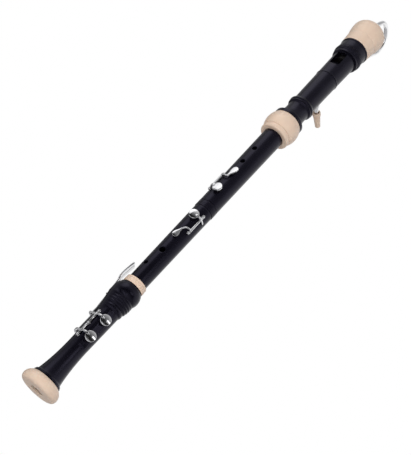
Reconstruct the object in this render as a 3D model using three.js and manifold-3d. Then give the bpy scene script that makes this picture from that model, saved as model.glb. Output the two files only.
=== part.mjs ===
// Bass recorder of black plastic with ivory rings, plated keys and a bent metal bocal.
// Lengths are millimetres. The bore runs up +Z from the centre of the bell's end face,
// the finger holes face -Y, the bocal hangs behind at +Y, and +X is the index finger key's side.
// An angle round the body is in degrees from the front (-Y) towards +X.

import * as THREE from 'three';
import { mergeVertices } from 'three/addons/utils/BufferGeometryUtils.js';
import Module from 'manifold-3d';

const wasm = await Module();
wasm.setup();

// Clearances and counts

const fit = 0.3;
const overrun = 3;
const bodySides = 20;
const smallSides = 8;
const wireSides = 6;
const curveSteps = 4;

// Driving dimensions of the sections, from the bell upwards

const bell = {
  length: 20,
  radius: 32.4,
  faceRadius: 24,
  neckRadius: 24.8,
  widestHeight: 8,
  shoulderHeight: 15,
  endWall: 5,
  boreRadius: 10.5,
  spigotRadius: 16,
};

// The foot's heights are measured from its top face, so those below it are negative.
// Only its flange and the start of its flare are measured up from the bell.
const foot = {
  length: 206.7,
  flangeRadius: 24.7,
  flangeLength: 6,
  flareRadius: 20.9,
  flareStart: 8,
  waistRadius: 16.2,
  waistHeight: -136.7,
  stemRadius: 17.2,
  stemHeight: -65,
  boreRadius: 9.6,
  socketDepth: 30,
  socketRadius: 14.9,
  rimRadius: 17.2,
  lowBeadRadius: 19,
  lowBeadTop: -53,
  lowBeadTopRadius: 17.8,
  highBeadRadius: 22,
  highBeadTop: -37,
  highBeadTopRadius: 20.9,
  bulgeRadius: 23.7,
  bulgeTop: -13.7,
  bulgeTopRadius: 19.9,
  ringRadius: 19.3,
};

const lower = {
  length: 183.7,
  lowRadius: 16.3,
  highRadius: 17.55,
  bandRadius: 18.35,
  bandLength: 13,
  bandGroove: 0.6,
  tenonLength: 29,
  tenonRadius: 14.5,
  corkInset: 6,
  corkThickness: 1.3,
  lowBoreRadius: 9.6,
  highBoreRadius: 10.6,
  socketDepth: 26,
};

const upper = {
  length: 189.7,
  lowRadius: 18.05,
  highRadius: 19.5,
  lowTenonLength: 25,
  lowTenonRadius: 14.6,
  highTenonLength: 36,
  highTenonRadius: 18,
  corkInset: 5,
  corkThickness: 1.3,
  highBoreRadius: 12.2,
};

const head = {
  length: 268.7,
  ringLength: 41.7,
  ringLip: 3,
  ringBandRadius: 28,
  ringBandLength: 8.7,
  ringGroove: 0.8,
  ringRadius: 32.3,
  ringWall: 3.2,
  flangeRadius: 28.8,
  flangeLength: 6.7,
  flangeSlope: 3.5,
  neckRadius: 20.7,
  neckHeight: 74,
  beadRadius: 24.6,
  beadLength: 16,
  beadGap: 4,
  beadBase: 20.9,
  tubeRadius: 23,
  bandDepth: 98.7,
  bandRadius: 22.8,
  bandLength: 3.6,
  ringsDepth: 35.2,
  stepRadius: 26.6,
  stepLength: 5,
  crownRadius: 29.5,
  crownLength: 17,
  grooveRadius: 27.2,
  grooveLength: 3,
  topRadius: 28.9,
  boreRadius: 14.5,
  tenonLength: 22,
  tenonRadius: 23.5,
  corkInset: 5,
  corkThickness: 1.3,
};

const mouth = {
  width: 20,
  edgeDepth: 60,
  topDepth: 38,
  rampLength: 13,
  edgeThickness: 0.9,
  windwayWidth: 18,
  windwayDepth: 1.9,
  blockDepth: 43.7,
};

const cap = {
  length: 72.8,
  collarRadius: 29.2,
  grooveHeight: 23.7,
  grooveRadius: 30.4,
  grooveDepth: 0.7,
  widestHeight: 47.7,
  radius: 33.7,
  flatRadius: 9,
  wall: 6,
};

const bocal = {
  radius: 4.25,
  wall: 0.9,
  socketFlangeRadius: 8.6,
  socketFlangeLength: 2.2,
  socketWall: 1.4,
  socketLength: 12,
  corkThickness: 0.7,
  corkLength: 10,
  riseHeight: 87,
  turnRadius: 30.85,
  shoulderOffset: 46,
  shoulderHeight: 43,
  crownOffset: 35.2,
  crownHeight: -18,
  lowOffset: 28,
  bendHeight: -137,
  bendRadius: 20,
  reach: 56,
};

const mouthpiece = {
  length: 36,
  overlap: 9,
  collarRadius: 7.6,
  collarLength: 8,
  grooveDepth: 0.9,
  grooveLength: 1.2,
  bodyRadius: 6.6,
  tipRadius: 5,
  boreRadius: 2.6,
};

// Heights above a body's shoulder as shares of its length: the holes tune the bore by them

const heightShares = {
  thumbHole: 0.8224,
  hole1: 0.7206,
  hole2: 0.5361,
  hole3: 0.1513,
  hole4: 0.7959,
  hole5: 0.3522,
  hole6: 0.1726,
  thumbRest: 0.5008,
};

// Finger holes: height above the section's shoulder, angle and radius

const thumbHole = { height: upper.length * heightShares.thumbHole, angle: 180, radius: 4.2 };
const hole1 = { height: upper.length * heightShares.hole1, angle: 0, radius: 4.3 };
const hole2 = { height: upper.length * heightShares.hole2, angle: 0, radius: 4.3 };
const hole3 = { height: upper.length * heightShares.hole3, angle: 8, radius: 4.6 };
const hole4 = { height: lower.length * heightShares.hole4, angle: 8.7, radius: 4.6 };
const hole5 = { height: lower.length * heightShares.hole5, angle: 9, radius: 5 };
const hole6 = { height: lower.length * heightShares.hole6, angle: -15, radius: 3.6 };

// The foot's two holes keep to its top face, because the levers that work their keys do
const lowHole = { height: -120, angle: 50, radius: 4.2 };
const highHole = { height: -86, angle: 50, radius: 4.2 };

// Keywork sizes shared by all keys

const post = { ballRadius: 2.5, baseRadius: 2.7, baseHeight: 1, stubRadius: 1.2, stubLength: 3 };
const hinge = { rodRadius: 1, tubeRadius: 2, rodOverhang: 3.2 };
const seat = { radius: 7.4, rise: 0.8 };
const cup = { radius: 8.8, rim: 0.5, edgeHeight: 3.4, crownHeight: 4.4, skirt: 0.6 };
const pad = { thickness: 2.4 };
const arm = { width: 3, thickness: 2, wireRadius: 1.5 };
const touch = { thickness: 1.8, bevel: 0.4, stemHalfWidth: 1.5, clearance: 1.1 };
const leaf = { thickness: 0.5, width: 2.4, reachAngle: 7 };

// The heights of a key on one of the two bodies are given from the middle of its hole
function keyOver(hole, key) {
  return {
    ...key,
    postLow: hole.height + key.postLow,
    postHigh: hole.height + key.postHigh,
    wristHeight: hole.height + key.wristHeight,
    stem: { angle: key.stem.angle, height: hole.height + key.stem.height },
    end: { angle: key.end.angle, height: hole.height + key.end.height },
  };
}

// Each key: its hinge line round the body, its posts, and how far it stands open in degrees

const hole3Key = keyOver(hole3, {
  angle: -35,
  radius: 20.8,
  postLow: -5,
  postHigh: 33,
  open: 10,
  wristHeight: 28.7,
  wristAngle: 13,
  wristLift: 2,
  stem: { angle: 3, height: 28.8 },
  end: { angle: 14, height: 47.3 },
  touchRadius: 5.8,
});

const hole4Key = keyOver(hole4, {
  angle: 52,
  radius: 20,
  postLow: -30.5,
  postHigh: 8.5,
  open: 10,
  wristHeight: -26.2,
  wristAngle: 12,
  wristLift: 2,
  stem: { angle: 13, height: -33.2 },
  end: { angle: 6, height: -48.2 },
  touchRadius: 5,
  tailAngle: 25,
  tailRadius: 20.2,
});

const footKeys = {
  angle: -8,
  radius: 19,
  postLow: -128,
  postMiddle: -104,
  postHigh: -80,
  open: 11,
  tailAngle: 26,
  tailRadius: 20,
  tailOverlap: 3.6,
  tailDrop: 0.7,
  flatWidth: 12,
  flatRadius: 17.4,
  flatLow: -136.7,
  flatHigh: -68.7,
  flatSlope: 5,
};

// A moulded ramp swallows the foot's rings beside the levers, which lie in a channel across it
const ramp = {
  angle: -60,
  offset: 3.8,
  lowHeight: -80,
  lowRadius: 13,
  highHeight: -39,
  highRadius: 21,
  top: -19.7,
  innerRadius: 16,
};

const levers = {
  angle: -72,
  flatRadius: 17.4,
  channelWidth: 18,
  pivotHeight: -45.7,
  pivotRadius: 21.2,
  spacing: 3.6,
  barWidth: 4.6,
  barThickness: 2.2,
  kneeHeight: -72.7,
  hubRadius: 2,
  hubLength: 5.4,
  pinRadius: 0.9,
  touchMiddle: -0.7,
  touchWidth: 10,
  touchGap: 0.6,
  tipHeight: 23,
  tipRadius: 23.6,
  crestHeight: -12.7,
  crestRadius: 25.4,
  endOverlap: 3.2,
  endRadius: 18.6,
  plateThickness: 1.2,
  plateLength: 13,
  cheekThickness: 1.2,
  cheekRadius: 2.3,
  screwHeadRadius: 1.5,
  screwShankRadius: 0.9,
  screwOffset: 4.4,
};

// The thumb rest and the strap ring stand at the back, a little to the right thumb's side
const backAngle = -160;

const thumbRest = {
  height: lower.length * heightShares.thumbRest,
  width: 14,
  length: 22,
  thickness: 2.6,
  ledge: 13,
  ledgeThickness: 3,
  screwHeadRadius: 2.2,
  screwShankRadius: 1.2,
  screwDepth: 4,
};

const strap = {
  ringClearance: 3.9,
  baseRadius: 5.5,
  baseThickness: 1.6,
  lugRadius: 3.4,
  lugThickness: 2,
  lugReach: 6,
  stubRadius: 1.4,
  stubLength: 3,
  holeRadius: 1.7,
  ringRadius: 7,
  wireRadius: 1.1,
};

// Heights of the foot's top face and of the shoulders on which the sections stand

const footTop = bell.length + fit + foot.length;
const lowerBase = footTop + fit;
const upperBase = lowerBase + lower.length + fit;
const headBase = upperBase + upper.length + fit;
const capBase = headBase + head.length + fit;

// Materials

const blackPlastic = { color: 0x242129, roughness: 0.38, metalness: 0 };
const ivoryPlastic = { color: 0xe4cbb2, roughness: 0.42, metalness: 0 };
const plating = { color: 0xd6d8dc, roughness: 0.16, metalness: 1 };
const springSteel = { color: 0x7b7f88, roughness: 0.3, metalness: 1 };
const corkSheet = { color: 0xb98a58, roughness: 0.9, metalness: 0 };
const blockPlastic = { color: 0x5d4433, roughness: 0.6, metalness: 0 };
const padSkin = { color: 0xcfa77c, roughness: 0.8, metalness: 0 };

// Geometry helpers

const radians = THREE.MathUtils.degToRad;

// A closed geometry as a solid that can be joined and cut
function solid(geometry) {
  const bare = geometry.index ? geometry.clone() : geometry;
  bare.deleteAttribute('normal');
  bare.deleteAttribute('uv');
  const merged = mergeVertices(bare);
  return new wasm.Manifold(new wasm.Mesh({
    numProp: 3,
    vertProperties: new Float32Array(merged.attributes.position.array),
    triVerts: new Uint32Array(merged.index.array),
  }));
}

function geometryOf(shape) {
  const mesh = shape.getMesh();
  const geometry = new THREE.BufferGeometry();
  geometry.setAttribute('position', new THREE.BufferAttribute(mesh.vertProperties, 3));
  geometry.setIndex(new THREE.BufferAttribute(mesh.triVerts, 1));
  geometry.computeVertexNormals();
  return geometry;
}

function joined(geometries) {
  return geometries.map(solid).reduce((sum, next) => sum.add(next));
}

function cut(shape, geometries) {
  return geometries.map(solid).reduce((rest, next) => rest.subtract(next), shape);
}

function meshOf(name, geometry, material) {
  const mesh = new THREE.Mesh(geometry, new THREE.MeshStandardMaterial(material));
  mesh.name = name;
  return mesh;
}

// A closed (radius, height) outline turned about +Z
function turned(outline, sides = bodySides) {
  const points = outline.getPoints(curveSteps);
  const area = THREE.ShapeUtils.area(points);
  const profile = area > 0 ? points : points.reverse();
  const first = profile[0];
  if (!first.equals(profile[profile.length - 1])) profile.push(first.clone());
  return new THREE.LatheGeometry(profile, sides).rotateX(Math.PI / 2);
}

function outlineFrom(radius, height) {
  const outline = new THREE.Path();
  outline.moveTo(radius, height);
  return outline;
}

// Adds a rounded stretch that ends at (radius, height) and passes through its widest point
function bulgeTo(outline, radius, height, widestRadius, widestHeight) {
  const start = outline.currentPoint;
  const controlRadius = 2 * widestRadius - (start.x + radius) / 2;
  const controlHeight = 2 * widestHeight - (start.y + height) / 2;
  outline.quadraticCurveTo(controlRadius, controlHeight, radius, height);
}

// A rod along +Z between two heights
function rod(radius, from, to, sides = smallSides) {
  const length = to - from;
  const geometry = new THREE.CylinderGeometry(radius, radius, length, sides);
  return geometry.rotateX(Math.PI / 2).translate(0, 0, from + length / 2);
}

// The frame of a spot on the body: x runs round it, y runs up, z points out
function facing(angle, radius, height) {
  const turn = radians(angle);
  const out = new THREE.Vector3(Math.sin(turn), -Math.cos(turn), 0);
  const round = new THREE.Vector3(Math.cos(turn), Math.sin(turn), 0);
  const up = new THREE.Vector3(0, 0, 1);
  const place = out.clone().multiplyScalar(radius).setZ(height);
  return new THREE.Matrix4().makeBasis(round, up, out).setPosition(place);
}

function around(radius, angle, height) {
  return new THREE.Vector3().setFromMatrixPosition(facing(angle, radius, height));
}

function flatAround(radius, angle) {
  const place = around(radius, angle, 0);
  return new THREE.Vector2(place.x, place.y);
}

// A rod that stands out from the axis between two radii
function spoke(rodRadius, angle, height, from, to, sides = smallSides) {
  return rod(rodRadius, from, to, sides).applyMatrix4(facing(angle, 0, height));
}

function holeCutter(hole, outerRadius) {
  return spoke(hole.radius, hole.angle, hole.height, 0, outerRadius + overrun);
}

// A strip of even thickness that follows a smooth line in the XY plane, extruded along +Z
function strip(points, thickness, from, to) {
  const line = new THREE.SplineCurve(points);
  const steps = 2 * points.length;
  const near = [];
  const far = [];
  for (let step = 0; step <= steps; step += 1) {
    const place = line.getPoint(step / steps);
    const along = line.getTangent(step / steps);
    const side = new THREE.Vector2(-along.y, along.x).multiplyScalar(thickness / 2);
    near.push(place.clone().add(side));
    far.unshift(place.clone().sub(side));
  }
  const shape = new THREE.Shape([...near, ...far]);
  const geometry = new THREE.ExtrudeGeometry(shape, { depth: to - from, bevelEnabled: false });
  return geometry.translate(0, 0, from);
}

// A round wire along a smooth line
function wire(points, radius, steps) {
  const section = new THREE.Shape().absarc(0, 0, radius, 0, 2 * Math.PI);
  return new THREE.ExtrudeGeometry(section, {
    extrudePath: new THREE.CatmullRomCurve3(points),
    curveSegments: wireSides / 2,
    steps,
  });
}

// Radius of a straight-tapered body at a height
function taper(low, high, height, length) {
  return low + (high - low) * height / length;
}

// Sleeve of cork in the recess of a tenon, between two heights
function corkSleeve(name, tenonRadius, thickness, from, to) {
  const inner = tenonRadius - thickness;
  const outline = outlineFrom(inner, from);
  outline.lineTo(tenonRadius, from);
  outline.lineTo(tenonRadius, to);
  outline.lineTo(inner, to);
  outline.lineTo(inner, from);
  return meshOf(name, turned(outline), corkSheet);
}

// Adds the outline of a tenon that carries a cork, from one height to another
function tenonTo(outline, tenonRadius, thickness, from, to, inset) {
  const recess = tenonRadius - thickness - fit;
  const way = Math.sign(to - from);
  outline.lineTo(tenonRadius, from);
  outline.lineTo(tenonRadius, from + way * (inset - fit));
  outline.lineTo(recess, from + way * (inset - fit));
  outline.lineTo(recess, to - way * (inset - fit));
  outline.lineTo(tenonRadius, to - way * (inset - fit));
  outline.lineTo(tenonRadius, to);
}

// Keywork helpers

// A ball post with a stub that goes into the body, bored for the hinge rod
function keyPost(name, key, height, bodyRadius) {
  const base = bodyRadius + fit;
  const ball = new THREE.SphereGeometry(post.ballRadius, smallSides, smallSides / 2);
  ball.rotateX(Math.PI / 2).translate(0, 0, key.radius);
  const shape = joined([
    ball,
    rod(post.baseRadius, base, base + post.baseHeight),
    rod(post.stubRadius, base - post.stubLength, key.radius),
  ]);
  const bore = rod(hinge.rodRadius + fit, -post.ballRadius - overrun, post.ballRadius + overrun);
  bore.rotateX(Math.PI / 2).translate(0, 0, key.radius);
  const mesh = meshOf(name, geometryOf(cut(shape, [bore])), plating);
  mesh.applyMatrix4(facing(key.angle, 0, height));
  return mesh;
}

function postHole(key, height, bodyRadius) {
  const depth = bodyRadius - post.stubLength;
  return spoke(post.stubRadius + fit, key.angle, height, depth, bodyRadius + overrun);
}

function hingeRod(name, key, from, to) {
  const length = to - from + 2 * hinge.rodOverhang;
  const mesh = meshOf(name, rod(hinge.rodRadius, 0, length), plating);
  mesh.position.copy(around(key.radius, key.angle, from - hinge.rodOverhang));
  return mesh;
}

// The tube that turns on the rod between two posts
function hingeTube(key, from, to) {
  const inset = post.ballRadius + fit;
  const place = around(key.radius, key.angle, 0);
  return rod(hinge.tubeRadius, from + inset, to - inset).translate(place.x, place.y, 0);
}

function tubeBore(key, from, to) {
  const place = around(key.radius, key.angle, 0);
  return rod(hinge.rodRadius + fit, from, to).translate(place.x, place.y, 0);
}

// The face that a pad closes on
function seatRadius(bodyRadius) {
  return bodyRadius + seat.rise;
}

function padFace(bodyRadius) {
  return seatRadius(bodyRadius) + fit;
}

function seatRing(hole, bodyRadius) {
  return spoke(seat.radius, hole.angle, hole.height, bodyRadius - overrun, seatRadius(bodyRadius));
}

// Domed cup over a pad, open below, standing on the pad's face at z = 0
function padCup() {
  const inner = cup.radius - cup.rim;
  const ceiling = pad.thickness + fit;
  const outline = outlineFrom(0, ceiling);
  outline.lineTo(inner, ceiling);
  outline.lineTo(inner, cup.skirt);
  outline.lineTo(cup.radius, cup.skirt);
  outline.lineTo(cup.radius, cup.edgeHeight);
  outline.quadraticCurveTo(cup.radius / 2, cup.crownHeight, 0, cup.crownHeight);
  outline.lineTo(0, ceiling);
  return turned(outline, 2 * smallSides);
}

function cupAt(hole, bodyRadius) {
  return padCup().applyMatrix4(facing(hole.angle, padFace(bodyRadius), hole.height));
}

// Height of the middle of a cup's crown above the axis
function cupCrown(bodyRadius) {
  return padFace(bodyRadius) + (cup.edgeHeight + cup.crownHeight) / 2;
}

// A piece modelled with its key closed, hung on the hinge line and swung open
function swung(name, geometry, key, openAngle, material) {
  const place = around(key.radius, key.angle, 0);
  geometry.translate(-place.x, -place.y, 0);
  const mesh = meshOf(name, geometry, material);
  mesh.position.copy(place);
  mesh.rotation.z = radians(openAngle);
  return mesh;
}

function padMesh(name, hole, bodyRadius, key, openAngle) {
  const disc = rod(cup.radius - cup.rim - fit, 0, pad.thickness, 2 * smallSides);
  disc.applyMatrix4(facing(hole.angle, padFace(bodyRadius), hole.height));
  return swung(name, disc, key, openAngle, padSkin);
}

// Line of an arm from the hinge over the body to the middle of a cup
function armLine(key, hole, bodyRadius) {
  const side = Math.sign(hole.angle - key.angle);
  const crown = cupCrown(bodyRadius);
  const edgeAngle = THREE.MathUtils.radToDeg(Math.atan2(cup.radius, crown));
  const edge = Math.hypot(cup.radius, crown);
  return [
    flatAround(key.radius, key.angle),
    flatAround((key.radius + edge) / 2 + arm.thickness / 2, (key.angle + hole.angle - side * edgeAngle) / 2),
    flatAround(edge, hole.angle - side * edgeAngle),
    flatAround(crown, hole.angle - side * edgeAngle / 3),
  ];
}

function cupArm(key, hole, bodyRadius) {
  const points = armLine(key, hole, bodyRadius);
  return strip(points, arm.thickness, hole.height - arm.width / 2, hole.height + arm.width / 2);
}

// Leaf spring under the bend of a cup arm, with its tip down near the body
function leafSpring(name, key, hole, bodyRadius, openAngle) {
  const bend = armLine(key, hole, bodyRadius)[1];
  const bendAngle = THREE.MathUtils.radToDeg(Math.atan2(bend.x, -bend.y));
  const rootRadius = bend.length() - arm.thickness - fit;
  const tipRadius = padFace(bodyRadius) + leaf.thickness;
  const side = Math.sign(hole.angle - key.angle);
  const points = [
    flatAround(rootRadius, bendAngle),
    flatAround((rootRadius + tipRadius) / 2, bendAngle + side * leaf.reachAngle / 2),
    flatAround(tipRadius, bendAngle + side * leaf.reachAngle),
  ];
  const from = hole.height - leaf.width / 2;
  const geometry = strip(points, leaf.thickness, from, from + leaf.width);
  return swung(name, geometry, key, openAngle, springSteel);
}

// Teardrop plate whose narrow end is at one spot on the body and whose round end is at another
function teardrop(stem, end, radius, under) {
  const middle = (stem.angle + end.angle) / 2;
  const run = new THREE.Vector2(
    under * (Math.tan(radians(end.angle - middle)) - Math.tan(radians(stem.angle - middle))),
    end.height - stem.height,
  );
  const length = run.length();
  const shape = new THREE.Shape();
  shape.moveTo(-touch.stemHalfWidth, 0);
  shape.bezierCurveTo(-touch.stemHalfWidth, length / 2, -radius, length / 2, -radius, length);
  shape.absarc(0, length, radius, Math.PI, 0, true);
  shape.bezierCurveTo(radius, length / 2, touch.stemHalfWidth, length / 2, touch.stemHalfWidth, 0);
  shape.lineTo(-touch.stemHalfWidth, 0);
  const plate = new THREE.ExtrudeGeometry(shape, {
    depth: touch.thickness - 2 * touch.bevel,
    bevelThickness: touch.bevel,
    bevelSize: touch.bevel,
    bevelOffset: -touch.bevel,
    bevelSegments: 1,
    curveSegments: curveSteps,
  });
  plate.translate(0, 0, touch.bevel);
  plate.rotateZ(-Math.atan2(run.x, run.y));
  plate.translate(-run.x / 2, -run.y / 2, under);
  return plate.applyMatrix4(facing(middle, 0, (stem.height + end.height) / 2));
}

// Bell ring

function bellRing() {
  const recess = bell.spigotRadius + fit;
  const outline = outlineFrom(bell.boreRadius, 0);
  outline.lineTo(bell.faceRadius, 0);
  outline.quadraticCurveTo(bell.radius, 0, bell.radius, bell.widestHeight);
  outline.quadraticCurveTo(bell.radius, bell.shoulderHeight, bell.neckRadius, bell.length);
  outline.lineTo(recess, bell.length);
  outline.lineTo(recess, bell.endWall);
  outline.lineTo(bell.boreRadius, bell.endWall);
  outline.lineTo(bell.boreRadius, 0);
  return meshOf('bell_ring', turned(outline), ivoryPlastic);
}

// Foot, measured from its top face

const footFlange = -foot.length;
const spigotEnd = footFlange + bell.endWall - bell.length;
const footSocketFloor = -fit - foot.socketDepth;

function footRadius(height) {
  const length = foot.stemHeight - foot.waistHeight;
  return taper(foot.waistRadius, foot.stemRadius, height - foot.waistHeight, length);
}

function footOutline() {
  const waistMiddle = (footFlange + foot.waistHeight) / 2;
  const outline = outlineFrom(bell.boreRadius, spigotEnd);
  outline.lineTo(bell.spigotRadius, spigotEnd);
  outline.lineTo(bell.spigotRadius, footFlange);
  outline.lineTo(foot.flangeRadius, footFlange);
  outline.lineTo(foot.flangeRadius, footFlange + foot.flangeLength);
  outline.lineTo(foot.flareRadius, footFlange + foot.flareStart);
  outline.quadraticCurveTo(foot.waistRadius, waistMiddle, foot.waistRadius, foot.waistHeight);
  outline.lineTo(foot.stemRadius, foot.stemHeight);
  const lowMiddle = (foot.stemHeight + foot.lowBeadTop) / 2;
  bulgeTo(outline, foot.lowBeadTopRadius, foot.lowBeadTop, foot.lowBeadRadius, lowMiddle);
  const highMiddle = (foot.lowBeadTop + foot.highBeadTop) / 2;
  bulgeTo(outline, foot.highBeadTopRadius, foot.highBeadTop, foot.highBeadRadius, highMiddle);
  const bulgeMiddle = (foot.highBeadTop + foot.bulgeTop) / 2;
  bulgeTo(outline, foot.bulgeTopRadius, foot.bulgeTop, foot.bulgeRadius, bulgeMiddle);
  outline.lineTo(foot.rimRadius, foot.bulgeTop);
  outline.lineTo(foot.rimRadius, -fit);
  outline.lineTo(foot.socketRadius, -fit);
  outline.lineTo(foot.socketRadius, footSocketFloor);
  outline.lineTo(foot.boreRadius, footSocketFloor);
  outline.lineTo(bell.boreRadius, spigotEnd);
  return outline;
}

// The raised flat that carries the two tone hole seats, with sloping ends
function padFlat() {
  const shape = new THREE.Shape();
  const under = footKeys.flatRadius - overrun;
  shape.moveTo(under, footKeys.flatLow - footKeys.flatSlope);
  shape.lineTo(footKeys.flatRadius, footKeys.flatLow);
  shape.lineTo(footKeys.flatRadius, footKeys.flatHigh);
  shape.lineTo(under, footKeys.flatHigh + footKeys.flatSlope);
  const flat = new THREE.ExtrudeGeometry(shape, { depth: footKeys.flatWidth, bevelEnabled: false });
  flat.translate(0, 0, -footKeys.flatWidth / 2).rotateX(Math.PI / 2);
  return flat.rotateZ(radians(lowHole.angle) - Math.PI / 2);
}

// The ramp is turned about an axis of its own, off to the levers' side
function leverRamp() {
  const outline = outlineFrom(0, ramp.lowHeight);
  outline.lineTo(ramp.lowRadius, ramp.lowHeight);
  outline.lineTo(ramp.highRadius, ramp.highHeight);
  outline.lineTo(ramp.highRadius, ramp.top);
  outline.lineTo(0, ramp.top);
  const place = flatAround(ramp.offset, ramp.angle);
  const cone = solid(turned(outline, 2 * bodySides).translate(place.x, place.y, 0));
  return cut(cone, [rod(ramp.innerRadius, ramp.lowHeight - overrun, ramp.top + overrun, bodySides)]);
}

// The levers' channel runs up through the ramp, the beads and the bulge
function leverChannel() {
  const depth = foot.bulgeRadius;
  const length = foot.bulgeTop - ramp.lowHeight + fit;
  const block = new THREE.BoxGeometry(levers.channelWidth, length, depth);
  block.translate(0, length / 2, levers.flatRadius + depth / 2);
  return block.applyMatrix4(facing(levers.angle, 0, ramp.lowHeight));
}

// The bracket's two screws stand under the two bars, one below the pin and one above it
const leverScrews = [
  {
    name: 'lever_bracket_screw_low',
    round: -levers.spacing,
    height: levers.pivotHeight - levers.screwOffset,
  },
  {
    name: 'lever_bracket_screw_high',
    round: levers.spacing,
    height: levers.pivotHeight + levers.screwOffset,
  },
];

function leverRod(radius, place, from, to) {
  return rod(radius, from, to).translate(place.round, place.height, 0);
}

function footJoint() {
  const body = joined([
    turned(footOutline()),
    padFlat(),
    seatRing(lowHole, footKeys.flatRadius),
    seatRing(highHole, footKeys.flatRadius),
  ]).add(leverRamp());
  const shankRadius = levers.screwShankRadius + fit;
  const screwHoles = leverScrews.map((place) => (
    leverRod(shankRadius, place, foot.socketRadius, levers.flatRadius + overrun)
      .applyMatrix4(facing(levers.angle, 0, 0))
  ));
  const postHeights = [footKeys.postLow, footKeys.postMiddle, footKeys.postHigh];
  return meshOf('foot_joint', geometryOf(cut(body, [
    leverChannel(),
    ...screwHoles,
    ...postHeights.map((height) => postHole(footKeys, height, footRadius(height))),
    holeCutter(lowHole, seatRadius(footKeys.flatRadius)),
    holeCutter(highHole, seatRadius(footKeys.flatRadius)),
  ])), blackPlastic);
}

function footSocketRing() {
  const inner = foot.rimRadius + fit;
  const from = foot.bulgeTop + fit;
  const edge = foot.ringRadius - fit;
  const outline = outlineFrom(inner, from);
  outline.lineTo(edge, from);
  bulgeTo(outline, edge, 0, foot.ringRadius + fit, from / 2);
  outline.lineTo(inner, 0);
  outline.lineTo(inner, from);
  return meshOf('foot_socket_ring', turned(outline), ivoryPlastic);
}

// Foot keys: closing turns them about +Z, and their tails are lifted by the levers

function leverPlane(round, out) {
  const place = new THREE.Vector3(round, 0, out).applyMatrix4(facing(levers.angle, 0, 0));
  return new THREE.Vector2(place.x, place.y);
}

function footKey(name, hole, from, to, tail) {
  const shape = joined([
    hingeTube(footKeys, from, to),
    cupArm(footKeys, hole, footKeys.flatRadius),
    cupAt(hole, footKeys.flatRadius),
    ...tail,
  ]);
  const key = cut(shape, [tubeBore(footKeys, from, to)]);
  return swung(name, geometryOf(key), footKeys, -footKeys.open, plating);
}

// How far round the levers' plane the hinge line of the pad keys lies
function hingeRound() {
  return footKeys.radius * Math.sin(radians(footKeys.angle - levers.angle));
}

// A tail lies close round the foot, bends over the lever and ends in a round edge on its face.
// The edge is placed for the closed key, so that it rests on the lever when the key is open.
function footKeyTail(offset, hole) {
  const hinge = flatAround(footKeys.radius, footKeys.angle);
  const side = flatAround(footKeys.tailRadius, footKeys.angle - footKeys.tailAngle);
  const hingeOut = footKeys.radius * Math.cos(radians(footKeys.angle - levers.angle));
  const top = hole.height + arm.width / 2;
  const face = levers.endRadius + levers.barThickness / 2;
  const rise = face + fit + arm.thickness / 2 - hingeOut;
  const turn = radians(footKeys.open);
  const out = hingeOut + (rise + (hingeRound() - offset) * Math.sin(turn)) / Math.cos(turn);
  const points = [
    hinge,
    side.rotateAround(hinge, turn),
    leverPlane(offset + levers.barWidth / 2 + footKeys.tailOverlap, out - footKeys.tailDrop),
    leverPlane(offset, out),
  ];
  const from = hole.height - arm.width / 2;
  const end = leverPlane(offset, out);
  const nub = rod(arm.thickness / 2, from, top).translate(end.x, end.y, 0);
  return [strip(points, arm.thickness, from, top), nub];
}

// A lever is a bent bar in the plane of the axis, with a hub for its pin and a broad touch.
// It is drawn from the side: x is the distance out, y the height.
function leverBar(end) {
  const half = levers.barThickness / 2;
  const line = [
    new THREE.Vector2(levers.endRadius, end),
    new THREE.Vector2(levers.endRadius, levers.kneeHeight),
    new THREE.Vector2(levers.pivotRadius, levers.pivotHeight),
    new THREE.Vector2(levers.crestRadius, levers.crestHeight),
  ];
  const near = line.map((place) => new THREE.Vector2(place.x - half, place.y));
  const far = line.map((place) => new THREE.Vector2(place.x + half, place.y)).reverse();
  return extrudedAcross(new THREE.Shape([...near, ...far]), levers.barWidth);
}

function extrudedAcross(shape, width) {
  const geometry = new THREE.ExtrudeGeometry(shape, { depth: width, bevelEnabled: false });
  geometry.translate(0, 0, -width / 2);
  const axes = new THREE.Matrix4().makeBasis(
    new THREE.Vector3(0, 0, 1),
    new THREE.Vector3(0, 1, 0),
    new THREE.Vector3(-1, 0, 0),
  );
  return geometry.applyMatrix4(axes);
}

function leverTouch() {
  const half = levers.barThickness / 2;
  const shape = new THREE.Shape();
  const bendHeight = levers.crestHeight - levers.barThickness;
  const bulge = levers.crestRadius + levers.barThickness;
  shape.moveTo(levers.crestRadius - half, bendHeight);
  shape.quadraticCurveTo(bulge - half, levers.touchMiddle, levers.tipRadius - half, levers.tipHeight);
  shape.lineTo(levers.tipRadius + half, levers.tipHeight);
  shape.quadraticCurveTo(bulge + half, levers.touchMiddle, levers.crestRadius + half, bendHeight);
  shape.lineTo(levers.crestRadius - half, bendHeight);
  return extrudedAcross(shape, levers.touchWidth);
}

function leverHub(radius, length) {
  const hub = rod(radius, -length / 2, length / 2).rotateY(Math.PI / 2);
  return hub.translate(0, levers.pivotHeight, levers.pivotRadius);
}

// The touches are broader than the bars, so each is set off to its own side
function lever(name, end, offset) {
  const aside = Math.sign(offset) * ((levers.touchWidth + levers.touchGap) / 2 - levers.spacing);
  const shape = joined([
    leverBar(end),
    leverTouch().translate(aside, 0, 0),
    leverHub(levers.hubRadius, levers.hubLength),
  ]);
  const bore = leverHub(levers.pinRadius + fit, levers.hubLength + overrun);
  const geometry = geometryOf(cut(shape, [bore]));
  geometry.translate(0, -levers.pivotHeight, -levers.pivotRadius);
  const mesh = meshOf(name, geometry, plating);
  mesh.applyMatrix4(facing(levers.angle, 0, 0));
  mesh.position.copy(new THREE.Vector3(offset, levers.pivotHeight, levers.pivotRadius)
    .applyMatrix4(facing(levers.angle, 0, 0)));
  return mesh;
}

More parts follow.
